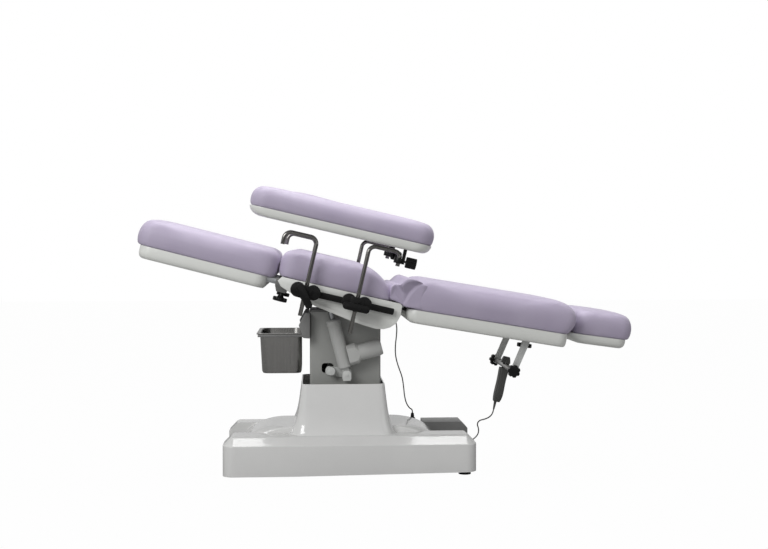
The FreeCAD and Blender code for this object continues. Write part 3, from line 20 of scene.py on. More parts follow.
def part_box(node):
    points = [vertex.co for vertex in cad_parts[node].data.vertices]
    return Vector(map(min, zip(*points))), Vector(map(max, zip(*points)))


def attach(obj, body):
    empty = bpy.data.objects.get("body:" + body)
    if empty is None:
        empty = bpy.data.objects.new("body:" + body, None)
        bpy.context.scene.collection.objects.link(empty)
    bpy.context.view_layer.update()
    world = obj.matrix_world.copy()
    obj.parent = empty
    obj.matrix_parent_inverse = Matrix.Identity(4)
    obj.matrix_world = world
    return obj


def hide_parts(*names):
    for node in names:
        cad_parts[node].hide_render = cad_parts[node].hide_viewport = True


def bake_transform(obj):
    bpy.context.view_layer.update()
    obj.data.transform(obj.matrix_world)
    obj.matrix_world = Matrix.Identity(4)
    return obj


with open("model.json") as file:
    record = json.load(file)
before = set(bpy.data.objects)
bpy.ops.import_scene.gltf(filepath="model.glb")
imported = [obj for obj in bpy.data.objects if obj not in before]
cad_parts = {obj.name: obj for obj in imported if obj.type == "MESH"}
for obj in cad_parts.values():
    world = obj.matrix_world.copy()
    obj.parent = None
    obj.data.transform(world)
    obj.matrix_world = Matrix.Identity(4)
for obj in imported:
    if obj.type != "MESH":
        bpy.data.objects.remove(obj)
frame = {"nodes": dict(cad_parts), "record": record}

LOG = logging.getLogger("examination_table")
Point = tuple[float, float, float]
Colour = tuple[float, float, float]
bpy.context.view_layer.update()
BODY_OF = {node: body for body, nodes in frame["record"]["behaviour"]["bodies"].items() for node in nodes}
SLOT_OF = {entry["node"]: entry["material_slot"] for entry in frame["record"]["subparts"]}

# Metres in a millimetre, and millimetres in a metre.
MM = 0.001
METRE = 1000.0
# Distance in metres under which two corners of a mesh are one.
MERGE = 0.00002
# Angle in degrees under which two faces of a rigid piece are one.
FLAT = 0.4
# Angle in degrees from which an edge of a rigid piece stays sharp.
SHARP = 32.0
# Metres from the mast's centre line to the table's zero.
MAST_TO_ZERO = 0.1385


def table_zero() -> Point:
    """Place that the table's own measures start from: on the floor, to the head side of the mast."""
    low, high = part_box("mast")
    return (low[0] + high[0]) / 2 + MAST_TO_ZERO, (low[1] + high[1]) / 2, 0.0


ZERO = table_zero()


def from_zero(x: float, y: float, z: float) -> Point:
    """Place in the frame of a point given in millimetres from the table's zero."""
    return ZERO[0] + x * MM, ZERO[1] + y * MM, z * MM


class Side(Enum):
    """The two long sides of the table, each with the word that its nodes carry."""

    NEAR = "near"
    FAR = "far"


@dataclass(frozen=True)
class Section:
    """A part of the table with its own tilted frame.

    Args:
        origin: place of the section's origin in metres.
        pitch: turn about +Y in degrees, which lowers the head end.
    """

    origin: Point
    pitch: float

    @property
    def matrix(self) -> Matrix:
        """Turn and place of the section."""
        return Matrix.Translation(Vector(self.origin)) @ Matrix.Rotation(math.radians(self.pitch), 4, "Y")

    def at(self, along: float, across: float, up: float) -> Vector:
        """Point of the section in the frame, from millimetres."""
        return self.matrix @ (Vector((along, across, up)) * MM)

    def within(self, along: float, across: float, up: float, pitch: float) -> "Section":
        """A section whose origin is a point of this one, in millimetres."""
        return Section(tuple(self.at(along, across, up)), pitch)


SEAT = Section(from_zero(-60, 0, 655), pitch=13.0)
LEG = SEAT.within(-326, 0, 14, pitch=14.3)
BACK = SEAT.within(135, 0, 30, pitch=9.4)
HEAD = BACK.within(640, 0, -30, pitch=7.8)


class TreeBuilder:
    """Adds and links the nodes of one shader tree."""

    def __init__(self, tree: bpy.types.NodeTree) -> None:
        """Keeps the tree that it works on."""
        self.tree = tree

    def node(self, kind: str, **values: object) -> bpy.types.Node:
        """Adds a node.

        Args:
            kind: Blender's type name of the node.
            values: properties to set on it.

        Returns:
            The new node.
        """
        item = self.tree.nodes.new(kind)
        for key, value in values.items():
            setattr(item, key, value)
        return item

    def link(self, source: bpy.types.NodeSocket, target: bpy.types.NodeSocket) -> None:
        """Links two sockets."""
        self.tree.links.new(source, target)


class GroupBuilder(TreeBuilder):
    """Builds one shader node group that works on the coordinates it is given."""

    def __init__(self, name: str) -> None:
        """Starts a group whose first input is a vector.

        Args:
            name: name of the group.
        """
        super().__init__(bpy.data.node_groups.new(name, "ShaderNodeTree"))
        self.entry = self.node("NodeGroupInput")
        self.exit = self.node("NodeGroupOutput")
        self.tree.interface.new_socket("Vector", in_out="INPUT", socket_type="NodeSocketVector")

    def takes(self, name: str, default: float) -> None:
        """Adds a float input with its default."""
        socket = self.tree.interface.new_socket(name, in_out="INPUT", socket_type="NodeSocketFloat")
        socket.default_value = default

    def gives(self, *names: str) -> None:
        """Adds float outputs."""
        for name in names:
            self.tree.interface.new_socket(name, in_out="OUTPUT", socket_type="NodeSocketFloat")

    def ramp(self, source: bpy.types.NodeSocket, low: float, high: float) -> bpy.types.NodeSocket:
        """Maps a value to the range from 0 to 1, clamped.

        Args:
            source: socket that gives the value.
            low: value that becomes 0.
            high: value that becomes 1.

        Returns:
            The socket with the mapped value.
        """
        item = self.node("ShaderNodeMapRange")
        item.inputs["From Min"].default_value = low
        item.inputs["From Max"].default_value = high
        self.link(source, item.inputs["Value"])
        return item.outputs["Result"]

    def noise(self, detail: float, scale: float = 5.0) -> bpy.types.Node:
        """Adds a noise pattern on the group's coordinates.

        Args:
            detail: number of its finer layers.
            scale: fineness of its largest layer.

        Returns:
            The noise node.
        """
        item = self.node("ShaderNodeTexNoise")
        item.inputs["Scale"].default_value = scale
        item.inputs["Detail"].default_value = detail
        self.link(self.entry.outputs["Vector"], item.inputs["Vector"])
        return item

    def mask(self, name: str, scale: float, detail: float, low: float, high: float) -> None:
        """Feeds an output with a noise pattern that is 0 at its low level and 1 at its high one."""
        pattern = self.noise(detail, scale).outputs["Fac"]
        self.link(self.ramp(pattern, low, high), self.exit.inputs[name])


def grain_group() -> bpy.types.NodeTree:
    """Fine leatherette grain: small cells with creases, and a slow drift of tone.

    Returns:
        The group, with outputs Height and Drift.
    """
    warp_reach = 0.0012
    crease_width = 0.16
    build = GroupBuilder("leatherette_grain")
    build.takes("Scale", 900.0)
    build.gives("Height", "Drift")
    cells = build.node("ShaderNodeTexVoronoi", feature="DISTANCE_TO_EDGE")
    warp = build.noise(detail=3.0, scale=260.0)
    mix = build.node("ShaderNodeVectorMath", operation="MULTIPLY_ADD")
    mix.inputs[1].default_value = (warp_reach, warp_reach, warp_reach)
    build.link(warp.outputs["Color"], mix.inputs[0])
    build.link(build.entry.outputs["Vector"], mix.inputs[2])
    build.link(mix.outputs["Vector"], cells.inputs["Vector"])
    build.link(build.entry.outputs["Scale"], cells.inputs["Scale"])
    build.link(build.ramp(cells.outputs["Distance"], 0.0, crease_width), build.exit.inputs["Height"])
    build.mask("Drift", scale=7.0, detail=4.0, low=0.3, high=0.7)
    return build.tree


def peel_group() -> bpy.types.NodeTree:
    """Slight orange peel and clouding of a sprayed or moulded surface.

    Returns:
        The group, with outputs Height, Cloud and Dust.
    """
    build = GroupBuilder("sprayed_surface")
    build.takes("Peel Scale", 420.0)
    build.gives("Height", "Cloud", "Dust")
    peel = build.noise(detail=2.0)
    build.link(build.entry.outputs["Peel Scale"], peel.inputs["Scale"])
    build.link(peel.outputs["Fac"], build.exit.inputs["Height"])
    build.mask("Cloud", scale=5.0, detail=5.0, low=0.3, high=0.7)
    build.mask("Dust", scale=60.0, detail=8.0, low=0.52, high=0.75)
    return build.tree


def brush_group() -> bpy.types.NodeTree:
    """Fine parallel brush marks, streaks and smudges of worked steel.

    Returns:
        The group, with outputs Height, Streak and Smudge.
    """
    build = GroupBuilder("brushed_steel")
    build.gives("Height", "Streak", "Smudge")
    marks = build.noise(detail=2.0, scale=900.0)
    build.link(marks.outputs["Fac"], build.exit.inputs["Height"])
    build.mask("Streak", scale=140.0, detail=3.0, low=0.35, high=0.65)
    build.mask("Smudge", scale=22.0, detail=5.0, low=0.4, high=0.7)
    return build.tree


GROUPS: dict[str, bpy.types.NodeTree] = {}


def shared_group(name: str, maker: Callable[[], bpy.types.NodeTree]) -> bpy.types.NodeTree:
    """One copy of a node group, made at its first use.

    Args:
        name: key of the group.
        maker: function that builds it.

    Returns:
        The group.
    """
    if name not in GROUPS:
        GROUPS[name] = maker()
    return GROUPS[name]


class MaterialBuilder(TreeBuilder):
    """Builds one material round a Principled BSDF."""

    def __init__(self, name: str) -> None:
        """Starts a material.

        Args:
            name: name of the material.
        """
        self.material = bpy.data.materials.new(name)
        self.material.use_nodes = True
        super().__init__(self.material.node_tree)
        self.shader = self.tree.nodes["Principled BSDF"]
        self.coordinates = self.node("ShaderNodeTexCoord").outputs["Object"]

    def set(self, **values: float) -> None:
        """Sets inputs of the shader; underscores stand for spaces."""
        for key, value in values.items():
            self.shader.inputs[key.replace("_", " ")].default_value = value

    def stretched(self, scale: Point) -> bpy.types.NodeSocket:
        """Object coordinates stretched by a mapping.

        Args:
            scale: stretch of the pattern along each axis.

        Returns:
            The socket with the mapped coordinates.
        """
        mapping = self.node("ShaderNodeMapping", vector_type="POINT")
        mapping.inputs["Scale"].default_value = scale
        self.link(self.coordinates, mapping.inputs["Vector"])
        return mapping.outputs["Vector"]

    def group(self, tree: bpy.types.NodeTree, vector: bpy.types.NodeSocket,
              **values: float) -> bpy.types.Node:
        """Places a shared group and feeds its vector.

        Args:
            tree: the group.
            vector: socket with the coordinates.
            values: other inputs by name, with underscores for spaces.

        Returns:
            The group's node.
        """
        item = self.node("ShaderNodeGroup", node_tree=tree)
        self.link(vector, item.inputs["Vector"])
        for key, value in values.items():
            item.inputs[key.replace("_", " ")].default_value = value
        return item

    def tone(self, mask: bpy.types.NodeSocket, low: Colour, high: Colour) -> None:
        """Drives the base colour by a mask between two colours.

        Args:
            mask: socket with the mask.
            low: colour where it is 0.
            high: colour where it is 1.
        """
        mix = self.node("ShaderNodeMix", data_type="RGBA")
        mix.inputs["A"].default_value = (*low, 1.0)
        mix.inputs["B"].default_value = (*high, 1.0)
        self.link(mask, mix.inputs["Factor"])
        self.link(mix.outputs["Result"], self.shader.inputs["Base Color"])

    def roughness(self, mask: bpy.types.NodeSocket, low: float, high: float) -> None:
        """Drives the roughness by a mask between two values.

        Args:
            mask: socket with the mask.
            low: roughness where it is 0.
            high: roughness where it is 1.
        """
        item = self.node("ShaderNodeMapRange")
        item.inputs["To Min"].default_value = low
        item.inputs["To Max"].default_value = high
        self.link(mask, item.inputs["Value"])
        self.link(item.outputs["Result"], self.shader.inputs["Roughness"])

    def bump(self, height: bpy.types.NodeSocket, depth: float, strength: float) -> None:
        """Adds a bump to the shader's normal.

        Args:
            height: socket with the height.
            depth: distance in metres.
            strength: strength from 0 to 1.
        """
        item = self.node("ShaderNodeBump")
        item.inputs["Distance"].default_value = depth
        item.inputs["Strength"].default_value = strength
        self.link(height, item.inputs["Height"])
        self.link(item.outputs["Normal"], self.shader.inputs["Normal"])


@dataclass(frozen=True)
class Leatherette:
    """Upholstery of the cushions: soft grain, slight sheen and a slow drift of tone.

    Args:
        name: name of the material.
        light: its lighter tone.
        deep: its deeper tone.
        smooth: lowest roughness.
        rough: highest roughness.
        grain: fineness of the grain.
        depth: depth of the grain in metres.
        strength: how far the grain shows, from 0 to 1.
    """

    name: str = "lilac_leatherette"
    light: Colour = (0.470, 0.418, 0.540)
    deep: Colour = (0.425, 0.374, 0.496)
    smooth: float = 0.44
    rough: float = 0.54
    grain: float = 820.0
    depth: float = 0.00018
    strength: float = 0.55

    def material(self) -> bpy.types.Material:
        """Builds the material.

        Returns:
            The material.
        """
        build = MaterialBuilder(self.name)
        grain = build.group(shared_group("grain", grain_group), build.coordinates, Scale=self.grain)
        build.tone(grain.outputs["Drift"], self.deep, self.light)
        build.roughness(grain.outputs["Drift"], self.smooth, self.rough)
        build.bump(grain.outputs["Height"], self.depth, self.strength)
        build.set(Sheen_Weight=0.12, Sheen_Roughness=0.4, Specular_IOR_Level=0.42)
        return build.material


@dataclass(frozen=True)
class Coat:
    """A sprayed, moulded or powder-coated surface.

    Args:
        name: name of the material.
        colour: its main tone.
        shade: the tone it drifts to.
        smooth: lowest roughness.
        rough: highest roughness.
        peel: fineness of the orange peel.
        depth: depth of the peel in metres.
        strength: how far the peel shows, from 0 to 1.
        gloss: weight of the clear coat.
        shine: level of its plain reflection.
    """

    name: str
    colour: Colour
    shade: Colour
    smooth: float = 0.30
    rough: float = 0.42
    peel: float = 420.0
    depth: float = 0.00002
    strength: float = 0.25
    gloss: float = 0.0
    shine: float = 0.5

    def material(self) -> bpy.types.Material:
        """Builds the material.

        Returns:
            The material.
        """
        build = MaterialBuilder(self.name)
        surface = build.group(shared_group("peel", peel_group), build.coordinates, Peel_Scale=self.peel)
        build.tone(surface.outputs["Cloud"], self.shade, self.colour)
        build.roughness(surface.outputs["Dust"], self.smooth, self.rough)
        build.bump(surface.outputs["Height"], self.depth, self.strength)
        build.set(Coat_Weight=self.gloss, Coat_Roughness=0.06, Specular_IOR_Level=self.shine)
        return build.material


@dataclass(frozen=True)
class Steel:
    """Brushed, drawn or plated metal with marks along one direction.

    Args:
        name: name of the material.
        colour: its main tone.
        dark: tone of the streaks.
        smooth: lowest roughness.
        rough: highest roughness.
        stretch: scale of the marks along each axis.
        depth: depth of the marks in metres.
        strength: how far the marks show, from 0 to 1.
    """

    name: str
    colour: Colour = (0.31, 0.305, 0.295)
    dark: Colour = (0.285, 0.28, 0.27)
    smooth: float = 0.24
    rough: float = 0.34
    stretch: Point = (1.0, 1.0, 0.04)
    depth: float = 0.000004
    strength: float = 0.15

    def material(self) -> bpy.types.Material:
        """Builds the material.

        Returns:
            The material.
        """
        build = MaterialBuilder(self.name)
        marks = build.group(shared_group("brush", brush_group), build.stretched(self.stretch))
        build.tone(marks.outputs["Streak"], self.dark, self.colour)
        build.roughness(marks.outputs["Smudge"], self.smooth, self.rough)
        build.bump(marks.outputs["Height"], self.depth, self.strength)
        build.set(Metallic=1.0)
        return build.material


BLACK: Colour = (0.008, 0.008, 0.008)
BLACK_SHADE: Colour = (0.006, 0.006, 0.006)

FINISHES: dict[str, Leatherette | Coat | Steel] = {
    "gelcoat": Coat("gloss_gelcoat", (0.80, 0.80, 0.79), (0.77, 0.77, 0.76), smooth=0.12, rough=0.22,
                    peel=60.0, depth=0.00010, strength=0.10, gloss=0.6),
    "board_white": Coat("moulded_board", (0.76, 0.77, 0.74), (0.72, 0.73, 0.70), smooth=0.34, rough=0.46,
                        peel=500.0),
    "lilac": Leatherette(),
    "frame_grey": Coat("grey_powder_coat", (0.15, 0.15, 0.145), (0.13, 0.13, 0.125), smooth=0.42,
                       rough=0.55, peel=900.0, depth=0.00004, strength=0.5),
    "frame_white": Coat("white_powder_coat", (0.62, 0.63, 0.61), (0.56, 0.57, 0.56), smooth=0.36,
                        rough=0.5, peel=900.0, depth=0.00004, strength=0.4),
    "cover_grey": Coat("column_sheet", (0.36, 0.365, 0.35), (0.33, 0.335, 0.32), smooth=0.36, rough=0.48,
                       peel=700.0, depth=0.00003, strength=0.4),
    "dark_box": Coat("dark_sheet", (0.22, 0.22, 0.217), (0.19, 0.19, 0.188), smooth=0.36, rough=0.5,
                     peel=800.0, depth=0.00004, strength=0.4),
    "steel": Steel("stainless_steel"),
    "polished": Steel("polished_rod", (0.21, 0.205, 0.195), (0.18, 0.175, 0.165), smooth=0.10, rough=0.20),
    "zinc": Steel("zinc_plate", (0.46, 0.47, 0.48), (0.36, 0.37, 0.38), smooth=0.26, rough=0.42,
                  stretch=(1.0, 1.0, 0.3)),
    "drive_grey": Coat("actuator_housing", (0.52, 0.525, 0.51), (0.48, 0.485, 0.47), smooth=0.36,
                       rough=0.5, peel=1100.0, depth=0.00004, strength=0.5),
    "black": Coat("black_moulded", BLACK, BLACK_SHADE, smooth=0.26, rough=0.42, peel=1300.0,
                  depth=0.00004, strength=0.5, shine=0.2),
    "rail_black": Coat("rail_coat", BLACK, BLACK_SHADE, smooth=0.30, rough=0.42, peel=900.0,
                       depth=0.00003, strength=0.4, shine=0.2),
    "cord_grey": Coat("cord_jacket", (0.080, 0.080, 0.077), (0.066, 0.066, 0.063), smooth=0.44,
                      rough=0.55, peel=1400.0, depth=0.00003, strength=0.4, shine=0.35),
    "rubber": Coat("foot_rubber", (0.018, 0.018, 0.018), (0.013, 0.013, 0.013), smooth=0.6, rough=0.8,
                   peel=1200.0, depth=0.00005, strength=0.5),
}


def link_object(name: str, mesh: bpy.types.Mesh) -> bpy.types.Object:
    """Makes an object for a mesh and links it to the scene.

    Args:
        name: name of the object.
        mesh: its mesh.

    Returns:
        The object.
    """
    item = bpy.data.objects.new(name, mesh)
    bpy.context.scene.collection.objects.link(item)
    return item


def apply_modifiers(item: bpy.types.Object) -> None:
    """Bakes an object's modifiers into its mesh.

    Args:
        item: the object.
    """
    graph = bpy.context.evaluated_depsgraph_get()
    baked = bpy.data.meshes.new_from_object(item.evaluated_get(graph))
    item.modifiers.clear()
    item.data = baked


def even_mesh(item: bpy.types.Object, edge: float) -> None:
    """Rebuilds an object's mesh from even small faces.

    Args:
        item: the object.
        edge: length of a face's edge in metres.
    """
    remesh = item.modifiers.new("even_mesh", "REMESH")
    remesh.mode = "VOXEL"
    remesh.voxel_size = edge
    remesh.adaptivity = 0.0
    apply_modifiers(item)


def ease(work: bmesh.types.BMesh, passes: int) -> None:
    """Rounds voxel steps and small wrinkles off.

    Args:
        work: the mesh.
        passes: number of smoothing passes.
    """
    for _ in range(passes):
        bmesh.ops.smooth_vert(work, verts=work.verts, factor=0.5, use_axis_x=True, use_axis_y=True,
                              use_axis_z=True)


def eased(mesh: bpy.types.Mesh, passes: int) -> None:
    """Smooths a piece's mesh in place.

    Args:
        mesh: the mesh.
        passes: number of smoothing passes.
    """
    work = bmesh.new()
    work.from_mesh(mesh)
    ease(work, passes)
    work.to_mesh(mesh)
    work.free()


def shade(mesh: bpy.types.Mesh, sharp_from: float = SHARP) -> None:
    """Smooths a mesh's shading and keeps the edges above an angle sharp.

    Args:
        mesh: the mesh.
        sharp_from: angle in degrees.
    """
    work = bmesh.new()
    work.from_mesh(mesh)
    for face in work.faces:
        face.smooth = True
    for edge in work.edges:
        edge.smooth = len(edge.link_faces) == 2 and edge.calc_face_angle(0.0) < math.radians(sharp_from)
    work.to_mesh(mesh)
    work.free()


@dataclass
class Workshop:
    """What every sub-assembly uses to finish its pieces.

    Args:
        palette: every material by its slot.
        count: number of pieces finished so far.
    """

    palette: dict[str, bpy.types.Material]
    count: int = 0

    def report(self, item: bpy.types.Object) -> None:
        """Logs one finished piece."""
        self.count += 1
        LOG.info("piece %d: %s, %d faces", self.count, item.name, len(item.data.polygons))

    def paint(self, item: bpy.types.Object, slot: str) -> None:
        """Gives a piece one material.

        Args:
            item: the piece.
            slot: the slot.
        """
        item.data.materials.clear()
        item.data.materials.append(self.palette[slot])

    def dress(self, node: str) -> None:
        """Gives a CAD node its material and leaves its mesh alone.

        Args:
            node: name of the node.
        """
        item = frame["nodes"][node]
        material = self.palette[SLOT_OF[node]]
        for slot in item.material_slots:
            slot.material = material
        if not item.material_slots:
            item.data.materials.append(material)
        self.report(item)

    def refine(self, node: str, edge: float) -> bpy.types.Object:
        """Replaces a CAD node by its merged copy with smooth shading and softened edges.

        Args:
            node: name of the node.
            edge: width of the softened edge, or 0 for none.

        Returns:
            The new piece.
        """
        mesh = frame["nodes"][node].data.copy()
        work = bmesh.new()
        work.from_mesh(mesh)
        bmesh.ops.remove_doubles(work, verts=work.verts, dist=MERGE)
        bmesh.ops.dissolve_limit(work, angle_limit=math.radians(FLAT), verts=work.verts, edges=work.edges)
        work.to_mesh(mesh)
        work.free()
        if "custom_normal" in mesh.attributes:
            mesh.attributes.remove(mesh.attributes["custom_normal"])
        item = link_object(node + "_finished", mesh)
        if edge > 0:
            bevel = item.modifiers.new("soft_edge", "BEVEL")
            bevel.width = edge * MM
            bevel.segments = 2
            bevel.limit_method = "ANGLE"
            bevel.angle_limit = math.radians(SHARP)
            bevel.use_clamp_overlap = True
            bevel.harden_normals = False
            apply_modifiers(item)
        shade(item.data)
        self.paint(item, SLOT_OF[node])
        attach(item, BODY_OF[node])
        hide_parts(node)
        self.report(item)
        return item

    def second(self, item: bpy.types.Object, slot: str, test: Callable[[Vector], bool]) -> None:
        """Gives the faces of a piece that pass a test a second material.

        Args:
            item: the piece.
            slot: slot of the second material.
            test: whether a face centre gets it.
        """
        item.data.materials.append(self.palette[slot])
        for face in item.data.polygons:
            if test(face.center):
                face.material_index = 1


@dataclass
class Cushion:
    """One padded section: a moulded pad that swells under its cover.

    Args:
        node: CAD node that it replaces.
        section: frame in which its seam lies flat.
        seam: height of its lower face.
        cap: how far a point may move.
        rim: height above the lower face that the board still holds.
        voxel: edge of its even mesh in metres.
        passes: smoothing passes before it swells.
        settling: smoothing passes after it has swollen.
        frames: length of the simulation.
    """

    node: str
    section: Section
    seam: float
    cap: float = 5.0
    rim: float = 9.0
    voxel: float = 0.006
    passes: int = 2
    settling: int = 3
    frames: int = 10

    def build(self, shop: Workshop) -> None:
        """Makes the cushion from its CAD solid.

        Args:
            shop: the workshop.
        """
        mesh = frame["nodes"][self.node].data.copy()
        work = bmesh.new()
        work.from_mesh(mesh)
        bmesh.ops.remove_doubles(work, verts=work.verts, dist=MERGE)
        work.to_mesh(mesh)
        work.free()
        item = link_object(self.node + "_cover", mesh)
        even_mesh(item, self.voxel)
        eased(item.data, self.passes)
        self.swell(item)
        eased(item.data, self.settling)
        fine = item.modifiers.new("fine", "SUBSURF")
        fine.levels = 1
        fine.render_levels = 1
        apply_modifiers(item)
        for face in item.data.polygons:
            face.use_smooth = True
        shop.paint(item, "lilac")
        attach(item, BODY_OF[self.node])
        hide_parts(self.node)
        shop.report(item)

    def swell(self, item: bpy.types.Object) -> None:
        """Runs a short cloth simulation under pressure, with the lower face pinned.

        Args:
            item: the cushion's object.
        """
        inverse = self.section.matrix.inverted()
        start = [vertex.co.copy() for vertex in item.data.vertices]
        pins = item.vertex_groups.new(name="board")
        floor = (self.seam + self.rim) * MM
        pins.add([index for index, point in enumerate(start) if (inverse @ point).z < floor], 1.0, "REPLACE")
        cloth = item.modifiers.new("cover", "CLOTH")
        cloth.settings.quality = 5
        cloth.settings.mass = 0.3
        cloth.settings.tension_stiffness = 40
        cloth.settings.compression_stiffness = 40
        cloth.settings.shear_stiffness = 20
        cloth.settings.bending_stiffness = 4
        cloth.settings.use_pressure = True
        cloth.settings.uniform_pressure_force = 3.0
        cloth.settings.vertex_group_mass = "board"
        cloth.settings.effector_weights.gravity = 0.0
        cloth.collision_settings.use_collision = False
        cloth.point_cache.frame_start = 1
        cloth.point_cache.frame_end = self.frames
        for index in range(1, self.frames + 1):
            bpy.context.scene.frame_set(index)
        apply_modifiers(item)
        bpy.context.scene.frame_set(1)
        item.vertex_groups.clear()
        limit = self.cap * MM
        for vertex, point in zip(item.data.vertices, start):
            move = vertex.co - point
            if move.length > limit:
                vertex.co = point + move.normalized() * limit


@dataclass
class CordRun:
    """One free cord that follows its route between two places.

    Args:
        node: CAD node that it replaces.
        points: the route from its upper exit, measured from the table's zero.
        length: its length in metres; not used.
        low: height below which it stays with the base; not used.
        high: height above which it follows the carriage; not used.
        radius: its radius.
    """

    node: str
    points: Sequence[Point]
    length: float
    low: float
    high: float
    radius: float = 2.5

    def build(self, shop: Workshop) -> None:
        """Makes the cord as one smooth curve.

        Args:
            shop: the workshop.
        """
        curve = bpy.data.curves.new(self.node + "_line", "CURVE")
        curve.dimensions = "3D"
        curve.resolution_u = 12
        spline = curve.splines.new("NURBS")
        spline.points.add(len(self.points) - 1)
        for place, point in zip(spline.points, self.points):
            place.co = (*from_zero(*point), 1.0)
        spline.order_u = 3
        spline.use_endpoint_u = True
        route = bpy.data.objects.new(self.node + "_line", curve)
        bpy.context.scene.collection.objects.link(route)
        path = [tuple(vertex.co) for vertex in self.baked(route).vertices]
        curve.bevel_depth = self.radius * MM
        curve.bevel_resolution = 4
        curve.use_fill_caps = True
        tube = self.baked(route)
        bpy.data.objects.remove(route)
        item = link_object(self.node + "_jacket", tube)
        shade(tube, sharp_from=60.0)
        shop.paint(item, "cord_grey")
        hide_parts(self.node)
        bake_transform(item)
        shop.report(item)

    def baked(self, route: bpy.types.Object) -> bpy.types.Mesh:
        """The route's curve as a mesh of its own.

        Args:
            route: the curve's object.

        Returns:
            The mesh.
        """
        graph = bpy.context.evaluated_depsgraph_get()
        graph.update()
        return bpy.data.meshes.new_from_object(route.evaluated_get(graph))


@dataclass
class Cords:
    """The seat's cord and the handset's cord.

    Args:
        seat_route: from the seat's frame down to the gland on the base.
        handset_route: from the handset's relief down to its gland.
    """

    seat_route: Sequence[Point] = ((31, 128, 647.6), (31, 128, 633), (42, 128, 616), (60, 128, 600),
                                   (76, 130, 577), (83, 136, 545), (81, 144, 508), (77, 150, 470),
                                   (77, 151, 434), (83, 150, 402), (94, 150, 370), (106, 152, 338),
                                   (112, 156, 298), (116, 161, 258), (124, 168, 226), (140, 180, 202),
                                   (152, 192, 197), (152, 192, 182.3))
    handset_route: Sequence[Point] = ((465.6, 0, 221.8), (461.9, 0, 204.2), (450, 9, 188), (432, 26, 177),
                                      (414, 46, 170), (407, 66, 152), (417, 76, 128), (413, 80, 104),
                                      (394, 83, 86), (376, 86, 76), (369, 96, 73), (369, 106.7, 73))

    def build(self, shop: Workshop) -> None:
        """Makes both cords."""
        CordRun("seat_cord", self.seat_route, length=0.506, low=190, high=580).build(shop)
        CordRun("handset_cord", self.handset_route, length=0.238, low=80, high=205).build(shop)


def between(value: float, table: Sequence[tuple[float, float]]) -> float:
    """Value of a broken line at a place, held level past its ends.

    Args:
        value: the place.
        table: places in rising order with their values.

    Returns:
        The value there.
    """
    low = table[0]
    if value <= low[0]:
        return low[1]
    for high in table[1:]:
        if value <= high[0]:
            return low[1] + (high[1] - low[1]) * ((value - low[0]) / (high[0] - low[0]))
        low = high
    return low[1]


